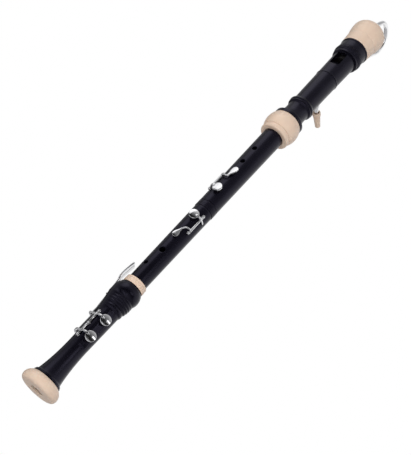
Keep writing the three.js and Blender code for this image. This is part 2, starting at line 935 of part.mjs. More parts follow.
function leverCheek(offset) {
  const base = levers.flatRadius + fit;
  const height = levers.pivotRadius - base;
  const wall = new THREE.BoxGeometry(levers.cheekThickness, 2 * levers.cheekRadius, height);
  wall.translate(offset, levers.pivotHeight, base + height / 2);
  const top = leverHub(levers.cheekRadius, levers.cheekThickness).translate(offset, 0, 0);
  return [wall, top];
}

function cheekOffset() {
  return 2 * levers.spacing;
}

function leverBracket() {
  const base = levers.flatRadius + fit;
  const width = 2 * cheekOffset() + levers.cheekThickness;
  const plate = new THREE.BoxGeometry(width, levers.plateLength, levers.plateThickness);
  plate.translate(0, levers.pivotHeight, base + levers.plateThickness / 2);
  const shape = joined([plate, ...[-cheekOffset(), 0, cheekOffset()].flatMap(leverCheek)]);
  const reach = base + levers.plateThickness + overrun;
  const holes = leverScrews.map((place) => (
    leverRod(levers.screwHeadRadius + fit, place, base - overrun, reach)
  ));
  const pinBore = leverHub(levers.pinRadius + fit, width + overrun);
  const mesh = meshOf('lever_bracket', geometryOf(cut(shape, [...holes, pinBore])), plating);
  mesh.applyMatrix4(facing(levers.angle, 0, 0));
  return mesh;
}

function leverPin() {
  const length = 2 * cheekOffset() + 2 * levers.cheekThickness;
  const pin = leverHub(levers.pinRadius, length);
  const mesh = meshOf('lever_pin', pin, plating);
  mesh.applyMatrix4(facing(levers.angle, 0, 0));
  return mesh;
}

function leverScrew(place) {
  const base = levers.flatRadius + fit;
  const shape = joined([
    leverRod(levers.screwHeadRadius, place, base, base + levers.plateThickness),
    leverRod(levers.screwShankRadius, place, foot.socketRadius + fit, base + levers.plateThickness / 2),
  ]);
  const mesh = meshOf(place.name, geometryOf(shape), plating);
  mesh.applyMatrix4(facing(levers.angle, 0, 0));
  return mesh;
}

// Lower body, measured up from its shoulder on the foot

function lowerRadius(height) {
  return taper(lower.lowRadius, lower.highRadius, height, lower.length - lower.bandLength);
}

const lowerSocketFloor = lower.length - lower.socketDepth;

function lowerOutline() {
  const bandFoot = lower.length - lower.bandLength;
  const groove = lower.bandRadius - lower.bandGroove;
  const outline = outlineFrom(lower.lowBoreRadius, -lower.tenonLength);
  tenonTo(outline, lower.tenonRadius, lower.corkThickness, -lower.tenonLength, 0, lower.corkInset);
  outline.lineTo(lower.lowRadius, 0);
  outline.lineTo(lower.highRadius, bandFoot - lower.bandGroove);
  outline.lineTo(lower.highRadius - lower.bandGroove / 2, bandFoot);
  outline.lineTo(lower.bandRadius, bandFoot + lower.bandGroove);
  outline.lineTo(lower.bandRadius, lower.length - 3 * lower.bandGroove);
  outline.lineTo(groove, lower.length - 2 * lower.bandGroove);
  outline.lineTo(lower.bandRadius, lower.length - lower.bandGroove);
  outline.lineTo(lower.bandRadius - lower.bandGroove / 2, lower.length);
  outline.lineTo(upper.lowTenonRadius + fit, lower.length);
  outline.lineTo(upper.lowTenonRadius + fit, lowerSocketFloor);
  outline.lineTo(lower.highBoreRadius, lowerSocketFloor);
  outline.lineTo(lower.lowBoreRadius, -lower.tenonLength);
  return outline;
}

function lowerBody() {
  const seatBody = lowerRadius(hole4.height);
  const body = joined([turned(lowerOutline()), seatRing(hole4, seatBody)]);
  return meshOf('lower_body', geometryOf(cut(body, [
    holeCutter(hole4, seatRadius(seatBody)),
    holeCutter(hole5, lower.highRadius),
    holeCutter(hole6, lower.highRadius),
    postHole(hole4Key, hole4Key.postLow, lowerRadius(hole4Key.postLow)),
    postHole(hole4Key, hole4Key.postHigh, lowerRadius(hole4Key.postHigh)),
    screwHole(thumbRest.height, thumbRest.screwShankRadius, thumbRest.screwDepth),
    screwHole(strapHeight, strap.stubRadius, strap.stubLength),
  ])), blackPlastic);
}

// A blind hole in the back of the lower body
function screwHole(height, radius, depth) {
  const surface = lowerRadius(height);
  return spoke(radius + fit, backAngle, height, surface - depth - fit, surface + overrun);
}

function footTenonCork() {
  const from = -lower.tenonLength + lower.corkInset;
  return corkSleeve('foot_tenon_cork', lower.tenonRadius, lower.corkThickness, from, -lower.corkInset);
}

// Keys of the two body sections: a cup, a tube and a touch plate on a curved wrist

function bodyKeyShape(key, hole, radiusAt) {
  const bodyRadius = radiusAt(hole.height);
  const under = radiusAt(key.end.height) + touch.clearance;
  const side = Math.sign(key.stem.angle - key.angle);
  const lifted = key.radius + key.wristLift;
  const wrist = wire([
    around(key.radius, key.angle, key.wristHeight),
    around(lifted, key.angle + side * key.wristAngle, key.wristHeight),
    around(lifted, key.stem.angle - side * key.wristAngle, (2 * key.wristHeight + key.stem.height) / 3),
    around(under + touch.thickness / 2 + fit, key.stem.angle, key.stem.height),
  ], arm.wireRadius, 3 * curveSteps);
  return joined([
    hingeTube(key, key.postLow, key.postHigh),
    cupArm(key, hole, bodyRadius),
    cupAt(hole, bodyRadius),
    wrist,
    teardrop(key.stem, key.end, key.touchRadius, under),
  ]);
}

function bodyKey(name, shape, key, openAngle) {
  const bored = cut(shape, [tubeBore(key, key.postLow, key.postHigh)]);
  return swung(name, geometryOf(bored), key, openAngle, plating);
}

// The arm of the index finger key crosses its hinge and ends in a tail that rests on the body
function stopTail(key, hole, bodyRadius) {
  const crown = cupCrown(bodyRadius);
  const edgeAngle = THREE.MathUtils.radToDeg(Math.atan2(cup.radius, crown));
  const over = key.radius + hinge.tubeRadius + arm.thickness / 2 - fit;
  const points = [
    flatAround(Math.hypot(cup.radius, crown), hole.angle + edgeAngle),
    flatAround(over, key.angle),
    flatAround(key.tailRadius, key.angle + key.tailAngle),
  ];
  return strip(points, arm.thickness, hole.height - arm.width / 2, hole.height + arm.width / 2);
}

function hole4KeyMesh() {
  const shape = bodyKeyShape(hole4Key, hole4, lowerRadius);
  const tail = solid(stopTail(hole4Key, hole4, lowerRadius(hole4.height)));
  return bodyKey('hole4_key', shape.add(tail), hole4Key, hole4Key.open);
}

// Thumb rest and strap ring on the back of the lower body

function backFrame() {
  return facing(backAngle, 0, 0);
}

function thumbRestMesh() {
  const surface = lowerRadius(thumbRest.height);
  const foot = thumbRest.height - thumbRest.length / 2;
  const top = thumbRest.height + thumbRest.length / 2;
  const face = surface + thumbRest.thickness;
  const tip = face + thumbRest.ledge;
  const shape = new THREE.Shape();
  shape.moveTo(0, foot);
  shape.lineTo(face, foot);
  shape.quadraticCurveTo(face, top - thumbRest.ledgeThickness, tip, top - thumbRest.ledgeThickness);
  shape.quadraticCurveTo(tip + thumbRest.ledgeThickness / 2, top, tip - thumbRest.ledgeThickness, top);
  shape.lineTo(0, top);
  const hook = extrudedAcross(shape, thumbRest.width);
  const bodyCut = rod(surface + fit, foot - overrun, top + overrun, 2 * bodySides).rotateX(-Math.PI / 2);
  const headHole = rod(thumbRest.screwHeadRadius + fit, surface + thumbRest.thickness / 2, tip);
  const shankHole = rod(thumbRest.screwShankRadius + fit, 0, tip);
  headHole.translate(0, thumbRest.height, 0);
  shankHole.translate(0, thumbRest.height, 0);
  const rest = cut(solid(hook), [bodyCut, headHole, shankHole]);
  const mesh = meshOf('thumb_rest', geometryOf(rest), blackPlastic);
  mesh.applyMatrix4(backFrame());
  return mesh;
}

function thumbRestScrew() {
  const surface = lowerRadius(thumbRest.height);
  const seatOut = surface + thumbRest.thickness / 2 + fit;
  const shape = joined([
    rod(thumbRest.screwShankRadius, surface - thumbRest.screwDepth, seatOut + fit),
    rod(thumbRest.screwHeadRadius, seatOut, surface + thumbRest.thickness),
  ]);
  const mesh = meshOf('thumb_rest_screw', geometryOf(shape), plating);
  mesh.applyMatrix4(backFrame());
  mesh.position.z = thumbRest.height;
  return mesh;
}

// The ring hangs down from its lug and clears the thumb rest below it
const ringBottom = thumbRest.height + thumbRest.length / 2 + strap.ringClearance;
const strapHeight = ringBottom + strap.wireRadius + 2 * strap.ringRadius;

function strapLugOut() {
  return lowerRadius(strapHeight) + fit + strap.lugReach;
}

function strapEye() {
  const base = lowerRadius(strapHeight) + fit;
  const reach = strap.lugReach;
  const wall = new THREE.BoxGeometry(strap.lugThickness, 2 * strap.lugRadius, reach);
  wall.translate(0, 0, base + reach / 2);
  const half = strap.lugThickness / 2;
  const round = rod(strap.lugRadius, -half, half, 2 * smallSides).rotateY(Math.PI / 2);
  round.translate(0, 0, strapLugOut());
  const hole = rod(strap.holeRadius, -half - overrun, half + overrun, 2 * smallSides);
  hole.rotateY(Math.PI / 2).translate(0, 0, strapLugOut());
  const shape = joined([
    wall,
    round,
    rod(strap.baseRadius, base, base + strap.baseThickness, 2 * smallSides),
    rod(strap.stubRadius, base - fit - strap.stubLength, base + strap.baseThickness),
  ]);
  const mesh = meshOf('strap_eye', geometryOf(cut(shape, [hole])), plating);
  mesh.applyMatrix4(backFrame());
  mesh.position.z = strapHeight;
  return mesh;
}

function strapRing() {
  const ring = new THREE.TorusGeometry(strap.ringRadius, strap.wireRadius, wireSides, 2 * smallSides);
  const bare = geometryOf(solid(ring));
  bare.translate(0, -strap.ringRadius, 0);
  const mesh = meshOf('strap_ring', bare, plating);
  mesh.applyMatrix4(facing(backAngle, strapLugOut(), strapHeight));
  return mesh;
}

// Upper body, measured up from its shoulder on the lower body

function upperRadius(height) {
  return taper(upper.lowRadius, upper.highRadius, height, upper.length);
}

const upperTop = upper.length + upper.highTenonLength;

function upperOutline() {
  const outline = outlineFrom(lower.highBoreRadius, -upper.lowTenonLength);
  const thick = upper.corkThickness;
  tenonTo(outline, upper.lowTenonRadius, thick, -upper.lowTenonLength, 0, upper.corkInset);
  outline.lineTo(upper.lowRadius, 0);
  outline.lineTo(upper.highRadius, upper.length);
  tenonTo(outline, upper.highTenonRadius, thick, upper.length, upperTop, upper.corkInset);
  outline.lineTo(upper.highBoreRadius, upperTop);
  outline.lineTo(lower.highBoreRadius, -upper.lowTenonLength);
  return outline;
}

function upperBody() {
  const seatBody = upperRadius(hole3.height);
  const body = joined([turned(upperOutline()), seatRing(hole3, seatBody)]);
  const holes = [hole1, hole2, thumbHole].map((hole) => holeCutter(hole, upper.highRadius));
  return meshOf('upper_body', geometryOf(cut(body, [
    ...holes,
    holeCutter(hole3, seatRadius(seatBody)),
    postHole(hole3Key, hole3Key.postLow, upperRadius(hole3Key.postLow)),
    postHole(hole3Key, hole3Key.postHigh, upperRadius(hole3Key.postHigh)),
  ])), blackPlastic);
}

function middleTenonCork() {
  const from = -upper.lowTenonLength + upper.corkInset;
  return corkSleeve('middle_tenon_cork', upper.lowTenonRadius, upper.corkThickness, from, -upper.corkInset);
}

function headTenonCork() {
  const from = upper.length + upper.corkInset;
  const to = upperTop - upper.corkInset;
  return corkSleeve('head_tenon_cork', upper.highTenonRadius, upper.corkThickness, from, to);
}

// Head, measured up from the lower face of its ivory ring

const ringInner = head.ringBandRadius - head.ringWall;
const headSocketFloor = upper.highTenonLength + fit;
const headTop = head.length + head.tenonLength;

// The band, the crown's rings and the window keep to the head's upper shoulder
const bandHeight = head.length - head.bandDepth;
const ringsHeight = head.length - head.ringsDepth;
const mouthEdge = head.length - mouth.edgeDepth;
const mouthTop = head.length - mouth.topDepth;
const blockHeight = head.length - mouth.blockDepth;

function headTubeRadius(height) {
  const start = head.neckHeight + head.beadGap + head.beadLength;
  return taper(head.neckRadius, head.tubeRadius, height - start, ringsHeight - start);
}

function headOutline() {
  const socket = upper.highTenonRadius + fit;
  const outline = outlineFrom(head.boreRadius, headTop);
  outline.lineTo(head.boreRadius, headSocketFloor);
  outline.lineTo(socket, headSocketFloor);
  outline.lineTo(socket, head.ringLip + fit);
  outline.lineTo(ringInner - fit, head.ringLip + fit);
  outline.lineTo(ringInner - fit, head.ringLength + fit);
  outline.lineTo(head.flangeRadius, head.ringLength + fit);
  const flangeTop = head.ringLength + head.flangeLength;
  outline.lineTo(head.flangeRadius, flangeTop);
  outline.lineTo(head.flangeRadius - head.flangeSlope, flangeTop + head.flangeSlope / 2);
  outline.quadraticCurveTo(head.neckRadius, flangeTop + head.flangeSlope, head.neckRadius, head.neckHeight);
  const beadFoot = head.neckHeight + head.beadGap;
  outline.lineTo(head.beadBase, beadFoot);
  const beadTop = beadFoot + head.beadLength;
  bulgeTo(outline, head.beadBase, beadTop, head.beadRadius, (beadFoot + beadTop) / 2);
  outline.lineTo(headTubeRadius(bandHeight), bandHeight);
  const bandTop = bandHeight + head.bandLength;
  bulgeTo(outline, headTubeRadius(bandTop), bandTop, head.bandRadius, (bandHeight + bandTop) / 2);
  outline.lineTo(head.tubeRadius, ringsHeight);
  const stepTop = ringsHeight + head.stepLength;
  outline.lineTo(head.stepRadius, ringsHeight + fit);
  outline.lineTo(head.stepRadius, stepTop);
  outline.lineTo(head.stepRadius + fit, stepTop);
  const crownTop = stepTop + head.crownLength;
  bulgeTo(outline, head.grooveRadius, crownTop, head.crownRadius, (stepTop + crownTop) / 2);
  outline.lineTo(head.grooveRadius, crownTop + head.grooveLength);
  outline.lineTo(head.topRadius, crownTop + head.grooveLength + head.ringGroove);
  outline.lineTo(head.topRadius, head.length);
  tenonTo(outline, head.tenonRadius, head.corkThickness, head.length, headTop, head.corkInset);
  outline.lineTo(head.boreRadius, headTop);
  return outline;
}

// Side view of what is cut out for the window: the ramp up to the edge, then the opening
function windowCutter() {
  const outer = headTubeRadius(mouthEdge);
  const edge = head.boreRadius + mouth.edgeThickness;
  const reach = head.stepRadius + overrun;
  const slope = mouth.rampLength / (outer - edge);
  const shape = new THREE.Shape();
  shape.moveTo(0, mouthEdge);
  shape.lineTo(edge, mouthEdge);
  shape.lineTo(reach, mouthEdge - slope * (reach - edge));
  shape.lineTo(reach, mouthTop);
  shape.lineTo(0, mouthTop);
  return extrudedAcross(shape, mouth.width).applyMatrix4(facing(0, 0, 0));
}

function windwayCutter() {
  const depth = mouth.windwayDepth + fit + overrun;
  const length = headTop + overrun - mouthTop + overrun;
  const slot = new THREE.BoxGeometry(mouth.windwayWidth, depth, length);
  const floor = head.boreRadius - fit - overrun;
  return slot.translate(0, -floor - depth / 2, mouthTop - overrun + length / 2);
}

function headJoint() {
  const tube = solid(turned(headOutline()));
  return meshOf('head_joint', geometryOf(cut(tube, [windowCutter(), windwayCutter()])), blackPlastic);
}

function headSocketRing() {
  const lipRadius = upper.highTenonRadius + fit;
  const grooveTop = head.ringBandLength + head.ringGroove;
  const grooveRadius = head.ringBandRadius - head.ringGroove;
  const outline = outlineFrom(lipRadius, 0);
  outline.lineTo(grooveRadius, 0);
  outline.lineTo(head.ringBandRadius, head.ringGroove);
  outline.lineTo(head.ringBandRadius, head.ringBandLength);
  outline.lineTo(grooveRadius, head.ringBandLength + head.ringGroove / 2);
  outline.lineTo(head.ringBandRadius + head.ringGroove, grooveTop);
  const middle = (grooveTop + head.ringLength) / 2;
  bulgeTo(outline, head.ringBandRadius, head.ringLength, head.ringRadius, middle);
  outline.lineTo(ringInner, head.ringLength);
  outline.lineTo(ringInner, head.ringLip);
  outline.lineTo(lipRadius, head.ringLip);
  outline.lineTo(lipRadius, 0);
  return meshOf('head_socket_ring', turned(outline), ivoryPlastic);
}

function blockPlug() {
  const plug = rod(head.boreRadius - fit, blockHeight, headTop - fit, bodySides);
  return meshOf('block', plug, blockPlastic);
}

function capTenonCork() {
  const from = head.length + head.corkInset;
  return corkSleeve('cap_tenon_cork', head.tenonRadius, head.corkThickness, from, headTop - head.corkInset);
}

// Cap, measured up from its lower edge

const socketInner = bocal.radius + fit + bocal.corkThickness + fit;
const socketOuter = socketInner + bocal.socketWall;

function headCap() {
  const hole = socketOuter + fit;
  const socket = head.tenonRadius + fit;
  const rise = (cap.length - cap.widestHeight) / Math.sqrt(1 - (cap.flatRadius / cap.radius) ** 2);
  const chamberRadius = cap.radius - cap.wall;
  const chamberRise = rise - cap.wall;
  const holeTurn = Math.acos(hole / chamberRadius);
  const outline = outlineFrom(socket, 0);
  outline.lineTo(cap.collarRadius - cap.grooveDepth, 0);
  outline.lineTo(cap.collarRadius, cap.grooveDepth);
  outline.lineTo(cap.grooveRadius, cap.grooveHeight - cap.grooveDepth);
  outline.lineTo(cap.grooveRadius - cap.grooveDepth, cap.grooveHeight);
  outline.lineTo(cap.grooveRadius, cap.grooveHeight + cap.grooveDepth);
  const shoulder = (cap.grooveHeight + cap.widestHeight) / 2;
  outline.quadraticCurveTo(cap.radius, shoulder, cap.radius, cap.widestHeight);
  outline.absellipse(0, cap.widestHeight, cap.radius, rise, 0, Math.acos(cap.flatRadius / cap.radius));
  outline.lineTo(hole, cap.length);
  outline.absellipse(0, cap.widestHeight, chamberRadius, chamberRise, holeTurn, 0, true);
  outline.lineTo(socket, head.tenonLength + cap.wall);
  outline.lineTo(socket, 0);
  return meshOf('head_cap', turned(outline), ivoryPlastic);
}

function bocalSocket() {
  const base = cap.length + fit;
  const top = base + bocal.socketFlangeLength;
  const outline = outlineFrom(socketInner, base - bocal.socketLength);
  outline.lineTo(socketOuter, base - bocal.socketLength);
  outline.lineTo(socketOuter, base);
  outline.lineTo(bocal.socketFlangeRadius, base);
  outline.lineTo(bocal.socketFlangeRadius, top - bocal.socketFlangeLength / 2);
  outline.lineTo(socketOuter, top);
  outline.lineTo(socketInner, top);
  outline.lineTo(socketInner, base - bocal.socketLength);
  return meshOf('bocal_socket', turned(outline, 2 * smallSides), plating);
}

// Bocal: up out of the cap, over in a half turn, down the back and out to the mouthpiece

function arcPoints(centreOut, centreHeight, radius, fromDegrees, toDegrees) {
  const points = [];
  for (let step = 0; step <= curveSteps; step += 1) {
    const turn = radians(fromDegrees + (toDegrees - fromDegrees) * step / curveSteps);
    const out = centreOut + radius * Math.cos(turn);
    points.push(new THREE.Vector3(0, out, centreHeight + radius * Math.sin(turn)));
  }
  return points;
}

function bocalRoute() {
  const start = cap.length - bocal.corkLength;
  const middleOffset = (bocal.crownOffset + bocal.lowOffset) / 2;
  const bendOffset = bocal.lowOffset + bocal.bendRadius;
  const bendCentre = bocal.bendHeight + bocal.bendRadius;
  return [
    new THREE.Vector3(0, 0, start),
    new THREE.Vector3(0, 0, (start + bocal.riseHeight) / 2),
    ...arcPoints(bocal.turnRadius, bocal.riseHeight, bocal.turnRadius, 180, 0),
    new THREE.Vector3(0, bocal.shoulderOffset, bocal.shoulderHeight),
    new THREE.Vector3(0, bocal.crownOffset, bocal.crownHeight),
    new THREE.Vector3(0, middleOffset, (bocal.crownHeight + bocal.bendHeight) / 2),
    ...arcPoints(bendOffset, bendCentre, bocal.bendRadius, 180, 270),
    new THREE.Vector3(0, bocal.reach, bocal.bendHeight),
  ];
}

function bocalTube() {
  const section = new THREE.Shape().absarc(0, 0, bocal.radius, 0, 2 * Math.PI);
  section.holes.push(new THREE.Path().absarc(0, 0, bocal.radius - bocal.wall, 0, 2 * Math.PI, true));
  const pipe = new THREE.ExtrudeGeometry(section, {
    extrudePath: new THREE.CatmullRomCurve3(bocalRoute()),
    curveSegments: curveSteps,
    steps: 10 * curveSteps,
  });
  return meshOf('bocal_tube', geometryOf(solid(pipe)), plating);
}

function pipeCork(name, from) {
  const inner = bocal.radius + fit;
  const outline = outlineFrom(inner, from);
  outline.lineTo(inner + bocal.corkThickness, from);
  outline.lineTo(inner + bocal.corkThickness, from + bocal.corkLength - overrun);
  outline.lineTo(inner, from + bocal.corkLength - overrun);
  outline.lineTo(inner, from);
  return meshOf(name, turned(outline, 2 * smallSides), corkSheet);
}

function bocalCork() {
  return pipeCork('bocal_cork', cap.length - bocal.corkLength + fit);
}

function mouthpieceCork() {
  const mesh = pipeCork('mouthpiece_cork', 0);
  mesh.rotation.x = -Math.PI / 2;
  mesh.position.set(0, bocal.reach - bocal.corkLength + overrun, bocal.bendHeight);
  return mesh;
}

function mouthpieceMesh() {
  const socket = bocal.radius + 2 * fit + bocal.corkThickness;
  const collarTop = mouthpiece.collarLength;
  const grooveTop = collarTop + mouthpiece.grooveLength;
  const outline = outlineFrom(socket, 0);
  outline.lineTo(mouthpiece.collarRadius - fit, 0);
  bulgeTo(outline, mouthpiece.collarRadius, collarTop, mouthpiece.collarRadius + fit, collarTop / 2);
  outline.lineTo(mouthpiece.bodyRadius - mouthpiece.grooveDepth, collarTop);
  outline.lineTo(mouthpiece.bodyRadius - mouthpiece.grooveDepth, grooveTop);
  outline.lineTo(mouthpiece.bodyRadius, grooveTop + fit);
  outline.lineTo(mouthpiece.tipRadius, mouthpiece.length - fit);
  outline.lineTo(mouthpiece.tipRadius - fit, mouthpiece.length);
  outline.lineTo(mouthpiece.boreRadius, mouthpiece.length);
  outline.lineTo(mouthpiece.boreRadius, mouthpiece.overlap + fit);
  outline.lineTo(socket, mouthpiece.overlap + fit);
  outline.lineTo(socket, 0);
  const mesh = meshOf('mouthpiece', turned(outline, 2 * smallSides), ivoryPlastic);
  mesh.rotation.x = -Math.PI / 2;
  mesh.position.set(0, bocal.reach - mouthpiece.overlap, bocal.bendHeight);
  return mesh;
}

// The sections, each standing on the one below

function section(height, meshes) {
  const group = new THREE.Group();
  group.position.z = height;
  group.add(...meshes);
  return group;
}

function footSection() {
  const { postLow, postMiddle, postHigh, open } = footKeys;
  const lowTail = footKeyTail(-levers.spacing, lowHole);
  const highTail = footKeyTail(levers.spacing, highHole);
  return section(footTop, [
    footJoint(),
    footSocketRing(),
    keyPost('foot_post_low', footKeys, postLow, footRadius(postLow)),
    keyPost('foot_post_middle', footKeys, postMiddle, footRadius(postMiddle)),
    keyPost('foot_post_high', footKeys, postHigh, footRadius(postHigh)),
    hingeRod('foot_hinge_rod', footKeys, postLow, postHigh),
    footKey('low_key', lowHole, postLow, postMiddle, lowTail),
    padMesh('low_key_pad', lowHole, footKeys.flatRadius, footKeys, -open),
    leafSpring('low_key_spring', footKeys, lowHole, footKeys.flatRadius, -open),
    footKey('high_key', highHole, postMiddle, postHigh, highTail),
    padMesh('high_key_pad', highHole, footKeys.flatRadius, footKeys, -open),
    leafSpring('high_key_spring', footKeys, highHole, footKeys.flatRadius, -open),
    lever('low_lever', lowHole.height - levers.endOverlap, -levers.spacing),
    lever('high_lever', highHole.height - levers.endOverlap, levers.spacing),
    leverBracket(),
    leverPin(),
    ...leverScrews.map(leverScrew),
  ]);
}

function lowerSection() {
  const { postLow, postHigh, open } = hole4Key;
  const seatBody = lowerRadius(hole4.height);
  return section(lowerBase, [
    lowerBody(),
    footTenonCork(),
    keyPost('hole4_key_post_low', hole4Key, postLow, lowerRadius(postLow)),
    keyPost('hole4_key_post_high', hole4Key, postHigh, lowerRadius(postHigh)),
    hingeRod('hole4_key_rod', hole4Key, postLow, postHigh),
    hole4KeyMesh(),
    padMesh('hole4_key_pad', hole4, seatBody, hole4Key, open),
    leafSpring('hole4_key_spring', hole4Key, hole4, seatBody, open),
    thumbRestMesh(),
    thumbRestScrew(),
    strapEye(),
    strapRing(),
  ]);
}

function upperSection() {
  const { postLow, postHigh, open } = hole3Key;
  const seatBody = upperRadius(hole3.height);
  return section(upperBase, [
    upperBody(),
    middleTenonCork(),
    headTenonCork(),
    keyPost('hole3_key_post_low', hole3Key, postLow, upperRadius(postLow)),
    keyPost('hole3_key_post_high', hole3Key, postHigh, upperRadius(postHigh)),
    hingeRod('hole3_key_rod', hole3Key, postLow, postHigh),
    bodyKey('hole3_key', bodyKeyShape(hole3Key, hole3, upperRadius), hole3Key, -open),
    padMesh('hole3_key_pad', hole3, seatBody, hole3Key, -open),
    leafSpring('hole3_key_spring', hole3Key, hole3, seatBody, -open),
  ]);
}

const recorder = new THREE.Group();
recorder.add(
  bellRing(),
  footSection(),
  lowerSection(),
  upperSection(),
  section(headBase, [headJoint(), headSocketRing(), blockPlug(), capTenonCork()]),
  section(capBase, [headCap(), bocalSocket(), bocalTube(), bocalCork(), mouthpieceCork(), mouthpieceMesh()]),
);

export default recorder;
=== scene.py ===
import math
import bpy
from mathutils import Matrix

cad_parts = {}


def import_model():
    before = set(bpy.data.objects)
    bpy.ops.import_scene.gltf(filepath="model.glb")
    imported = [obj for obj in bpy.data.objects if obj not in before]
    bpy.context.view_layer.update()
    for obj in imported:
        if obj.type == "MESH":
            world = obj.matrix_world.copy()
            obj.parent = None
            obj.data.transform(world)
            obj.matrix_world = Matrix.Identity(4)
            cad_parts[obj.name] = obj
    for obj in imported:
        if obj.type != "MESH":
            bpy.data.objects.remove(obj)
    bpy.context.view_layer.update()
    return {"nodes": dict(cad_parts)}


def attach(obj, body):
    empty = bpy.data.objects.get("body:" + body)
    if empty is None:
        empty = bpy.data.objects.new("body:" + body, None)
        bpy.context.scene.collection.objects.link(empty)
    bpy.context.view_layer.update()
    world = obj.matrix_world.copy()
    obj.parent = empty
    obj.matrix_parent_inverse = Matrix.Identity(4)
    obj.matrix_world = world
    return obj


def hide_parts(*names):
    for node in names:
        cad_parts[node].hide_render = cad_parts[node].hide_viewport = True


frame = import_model()

# The looks of a bass recorder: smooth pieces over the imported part, with procedural materials.
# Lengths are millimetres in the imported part's frame, and a mesh is scaled to metres when it is finished.
# An angle round the body is in degrees from the front (-Y) towards +X.

from types import SimpleNamespace as Sizes

import bmesh
import bpy
from mathutils import Matrix, Vector, noise

METRES = 0.001

# Clearances and counts

FIT = 0.3
OVERRUN = 3
SIDES = 96
SMALL_SIDES = 40
CURVE_STEPS = 14

# Driving dimensions of the sections, from the bell upwards

bell = Sizes(length=20, radius=32.4, face_radius=24, neck_radius=24.8, widest_height=8, shoulder_height=15,
             end_wall=5, bore_radius=10.5, spigot_radius=16)

foot = Sizes(length=206.7, flange_radius=24.7, flange_length=6, flare_radius=20.9, flare_start=8,
             waist_radius=16.2, waist_height=-136.7, stem_radius=17.2, stem_height=-65, bore_radius=9.6,
             socket_depth=30, socket_radius=14.9, rim_radius=17.2, low_bead_radius=19, low_bead_top=-53,
             low_bead_top_radius=17.8, high_bead_radius=22, high_bead_top=-37, high_bead_top_radius=20.9,
             bulge_radius=23.7, bulge_top=-13.7, bulge_top_radius=19.9, ring_radius=19.3)

lower = Sizes(length=183.7, low_radius=16.3, high_radius=17.55, band_radius=18.35, band_length=13,
              band_groove=0.6, tenon_length=29, tenon_radius=14.5, cork_inset=6, cork_thickness=1.3,
              low_bore_radius=9.6, high_bore_radius=10.6, socket_depth=26)

upper = Sizes(length=189.7, low_radius=18.05, high_radius=19.5, low_tenon_length=25, low_tenon_radius=14.6,
              high_tenon_length=36, high_tenon_radius=18, cork_inset=5, cork_thickness=1.3,
              high_bore_radius=12.2)

head = Sizes(length=268.7, ring_length=41.7, ring_lip=3, ring_band_radius=28, ring_band_length=8.7,
             ring_groove=0.8, ring_radius=32.3, ring_wall=3.2, flange_radius=28.8, flange_length=6.7,
             flange_slope=3.5, neck_radius=20.7, neck_height=74, bead_radius=24.6, bead_length=16,
             bead_gap=4, bead_base=20.9, tube_radius=23, band_depth=98.7, band_radius=22.8, band_length=3.6,
             rings_depth=35.2, step_radius=26.6, step_length=5,
             top_radius=28.9, bore_radius=14.5, tenon_length=22,
             tenon_radius=23.5, cork_inset=5, cork_thickness=1.3)

mouth = Sizes(width=20, edge_depth=60, top_depth=38, ramp_length=13, edge_thickness=0.9,
              windway_width=18, windway_depth=1.9, block_depth=43.7)

cap = Sizes(length=72.8, collar_radius=29.2, groove_height=23.7, groove_radius=30.4, groove_depth=0.7,
            widest_height=47.7, radius=33.7, flat_radius=9, wall=6)

bocal = Sizes(radius=4.25, wall=0.9, socket_flange_radius=8.6, socket_flange_length=2.2, socket_wall=1.4,
              socket_length=12, cork_thickness=0.7, cork_length=10, rise_height=87, turn_radius=30.85,
              shoulder_offset=46, shoulder_height=43, crown_offset=35.2, crown_height=-18, low_offset=28,
              bend_height=-137, bend_radius=20, reach=56)

mouthpiece = Sizes(length=36, overlap=9, collar_radius=7.6, collar_length=8, groove_depth=0.9,
                   groove_length=1.2, body_radius=6.6, tip_radius=5, bore_radius=2.6)

# Finger holes: height above the section's shoulder as a share of its length, angle and radius

hole_shares = Sizes(thumb=0.8224, hole1=0.7206, hole2=0.5361, hole3=0.1513, hole4=0.7959, hole5=0.3522,
                    hole6=0.1726, thumb_rest=0.5008)

thumb_hole = Sizes(height=upper.length * hole_shares.thumb, angle=180, radius=4.2)
hole1 = Sizes(height=upper.length * hole_shares.hole1, angle=0, radius=4.3)
hole2 = Sizes(height=upper.length * hole_shares.hole2, angle=0, radius=4.3)
hole3 = Sizes(height=upper.length * hole_shares.hole3, angle=8, radius=4.6)
hole4 = Sizes(height=lower.length * hole_shares.hole4, angle=8.7, radius=4.6)
hole5 = Sizes(height=lower.length * hole_shares.hole5, angle=9, radius=5)
hole6 = Sizes(height=lower.length * hole_shares.hole6, angle=-15, radius=3.6)
low_hole = Sizes(height=-120, angle=50, radius=4.2)
high_hole = Sizes(height=-86, angle=50, radius=4.2)

# Keywork

post = Sizes(ball_radius=2.5, base_radius=2.7, base_height=1, stub_radius=1.2, stub_length=3)
hinge = Sizes(rod_radius=1, tube_radius=2, rod_overhang=3.2)
seat = Sizes(radius=7.4, rise=0.8)
cup = Sizes(radius=8.8, rim=0.5, edge_height=3.4, crown_height=4.4, skirt=0.6)
pad = Sizes(thickness=2.4)
arm = Sizes(width=3, thickness=2, wire_radius=1.5)
touch = Sizes(thickness=1.8, stem_half_width=1.5, clearance=1.1)

hole3_key = Sizes(angle=-35, radius=20.8, post_low=hole3.height - 5, post_high=hole3.height + 33, open=10,
                  wrist_height=hole3.height + 28.7, wrist_angle=13, wrist_lift=2,
                  stem=(3, hole3.height + 28.8), end=(14, hole3.height + 47.3), touch_radius=5.8)

hole4_key = Sizes(angle=52, radius=20, post_low=hole4.height - 30.5, post_high=hole4.height + 8.5, open=10,
                  wrist_height=hole4.height - 26.2, wrist_angle=12, wrist_lift=2,
                  stem=(13, hole4.height - 33.2), end=(6, hole4.height - 48.2), touch_radius=5,
                  tail_angle=25, tail_radius=20.2)

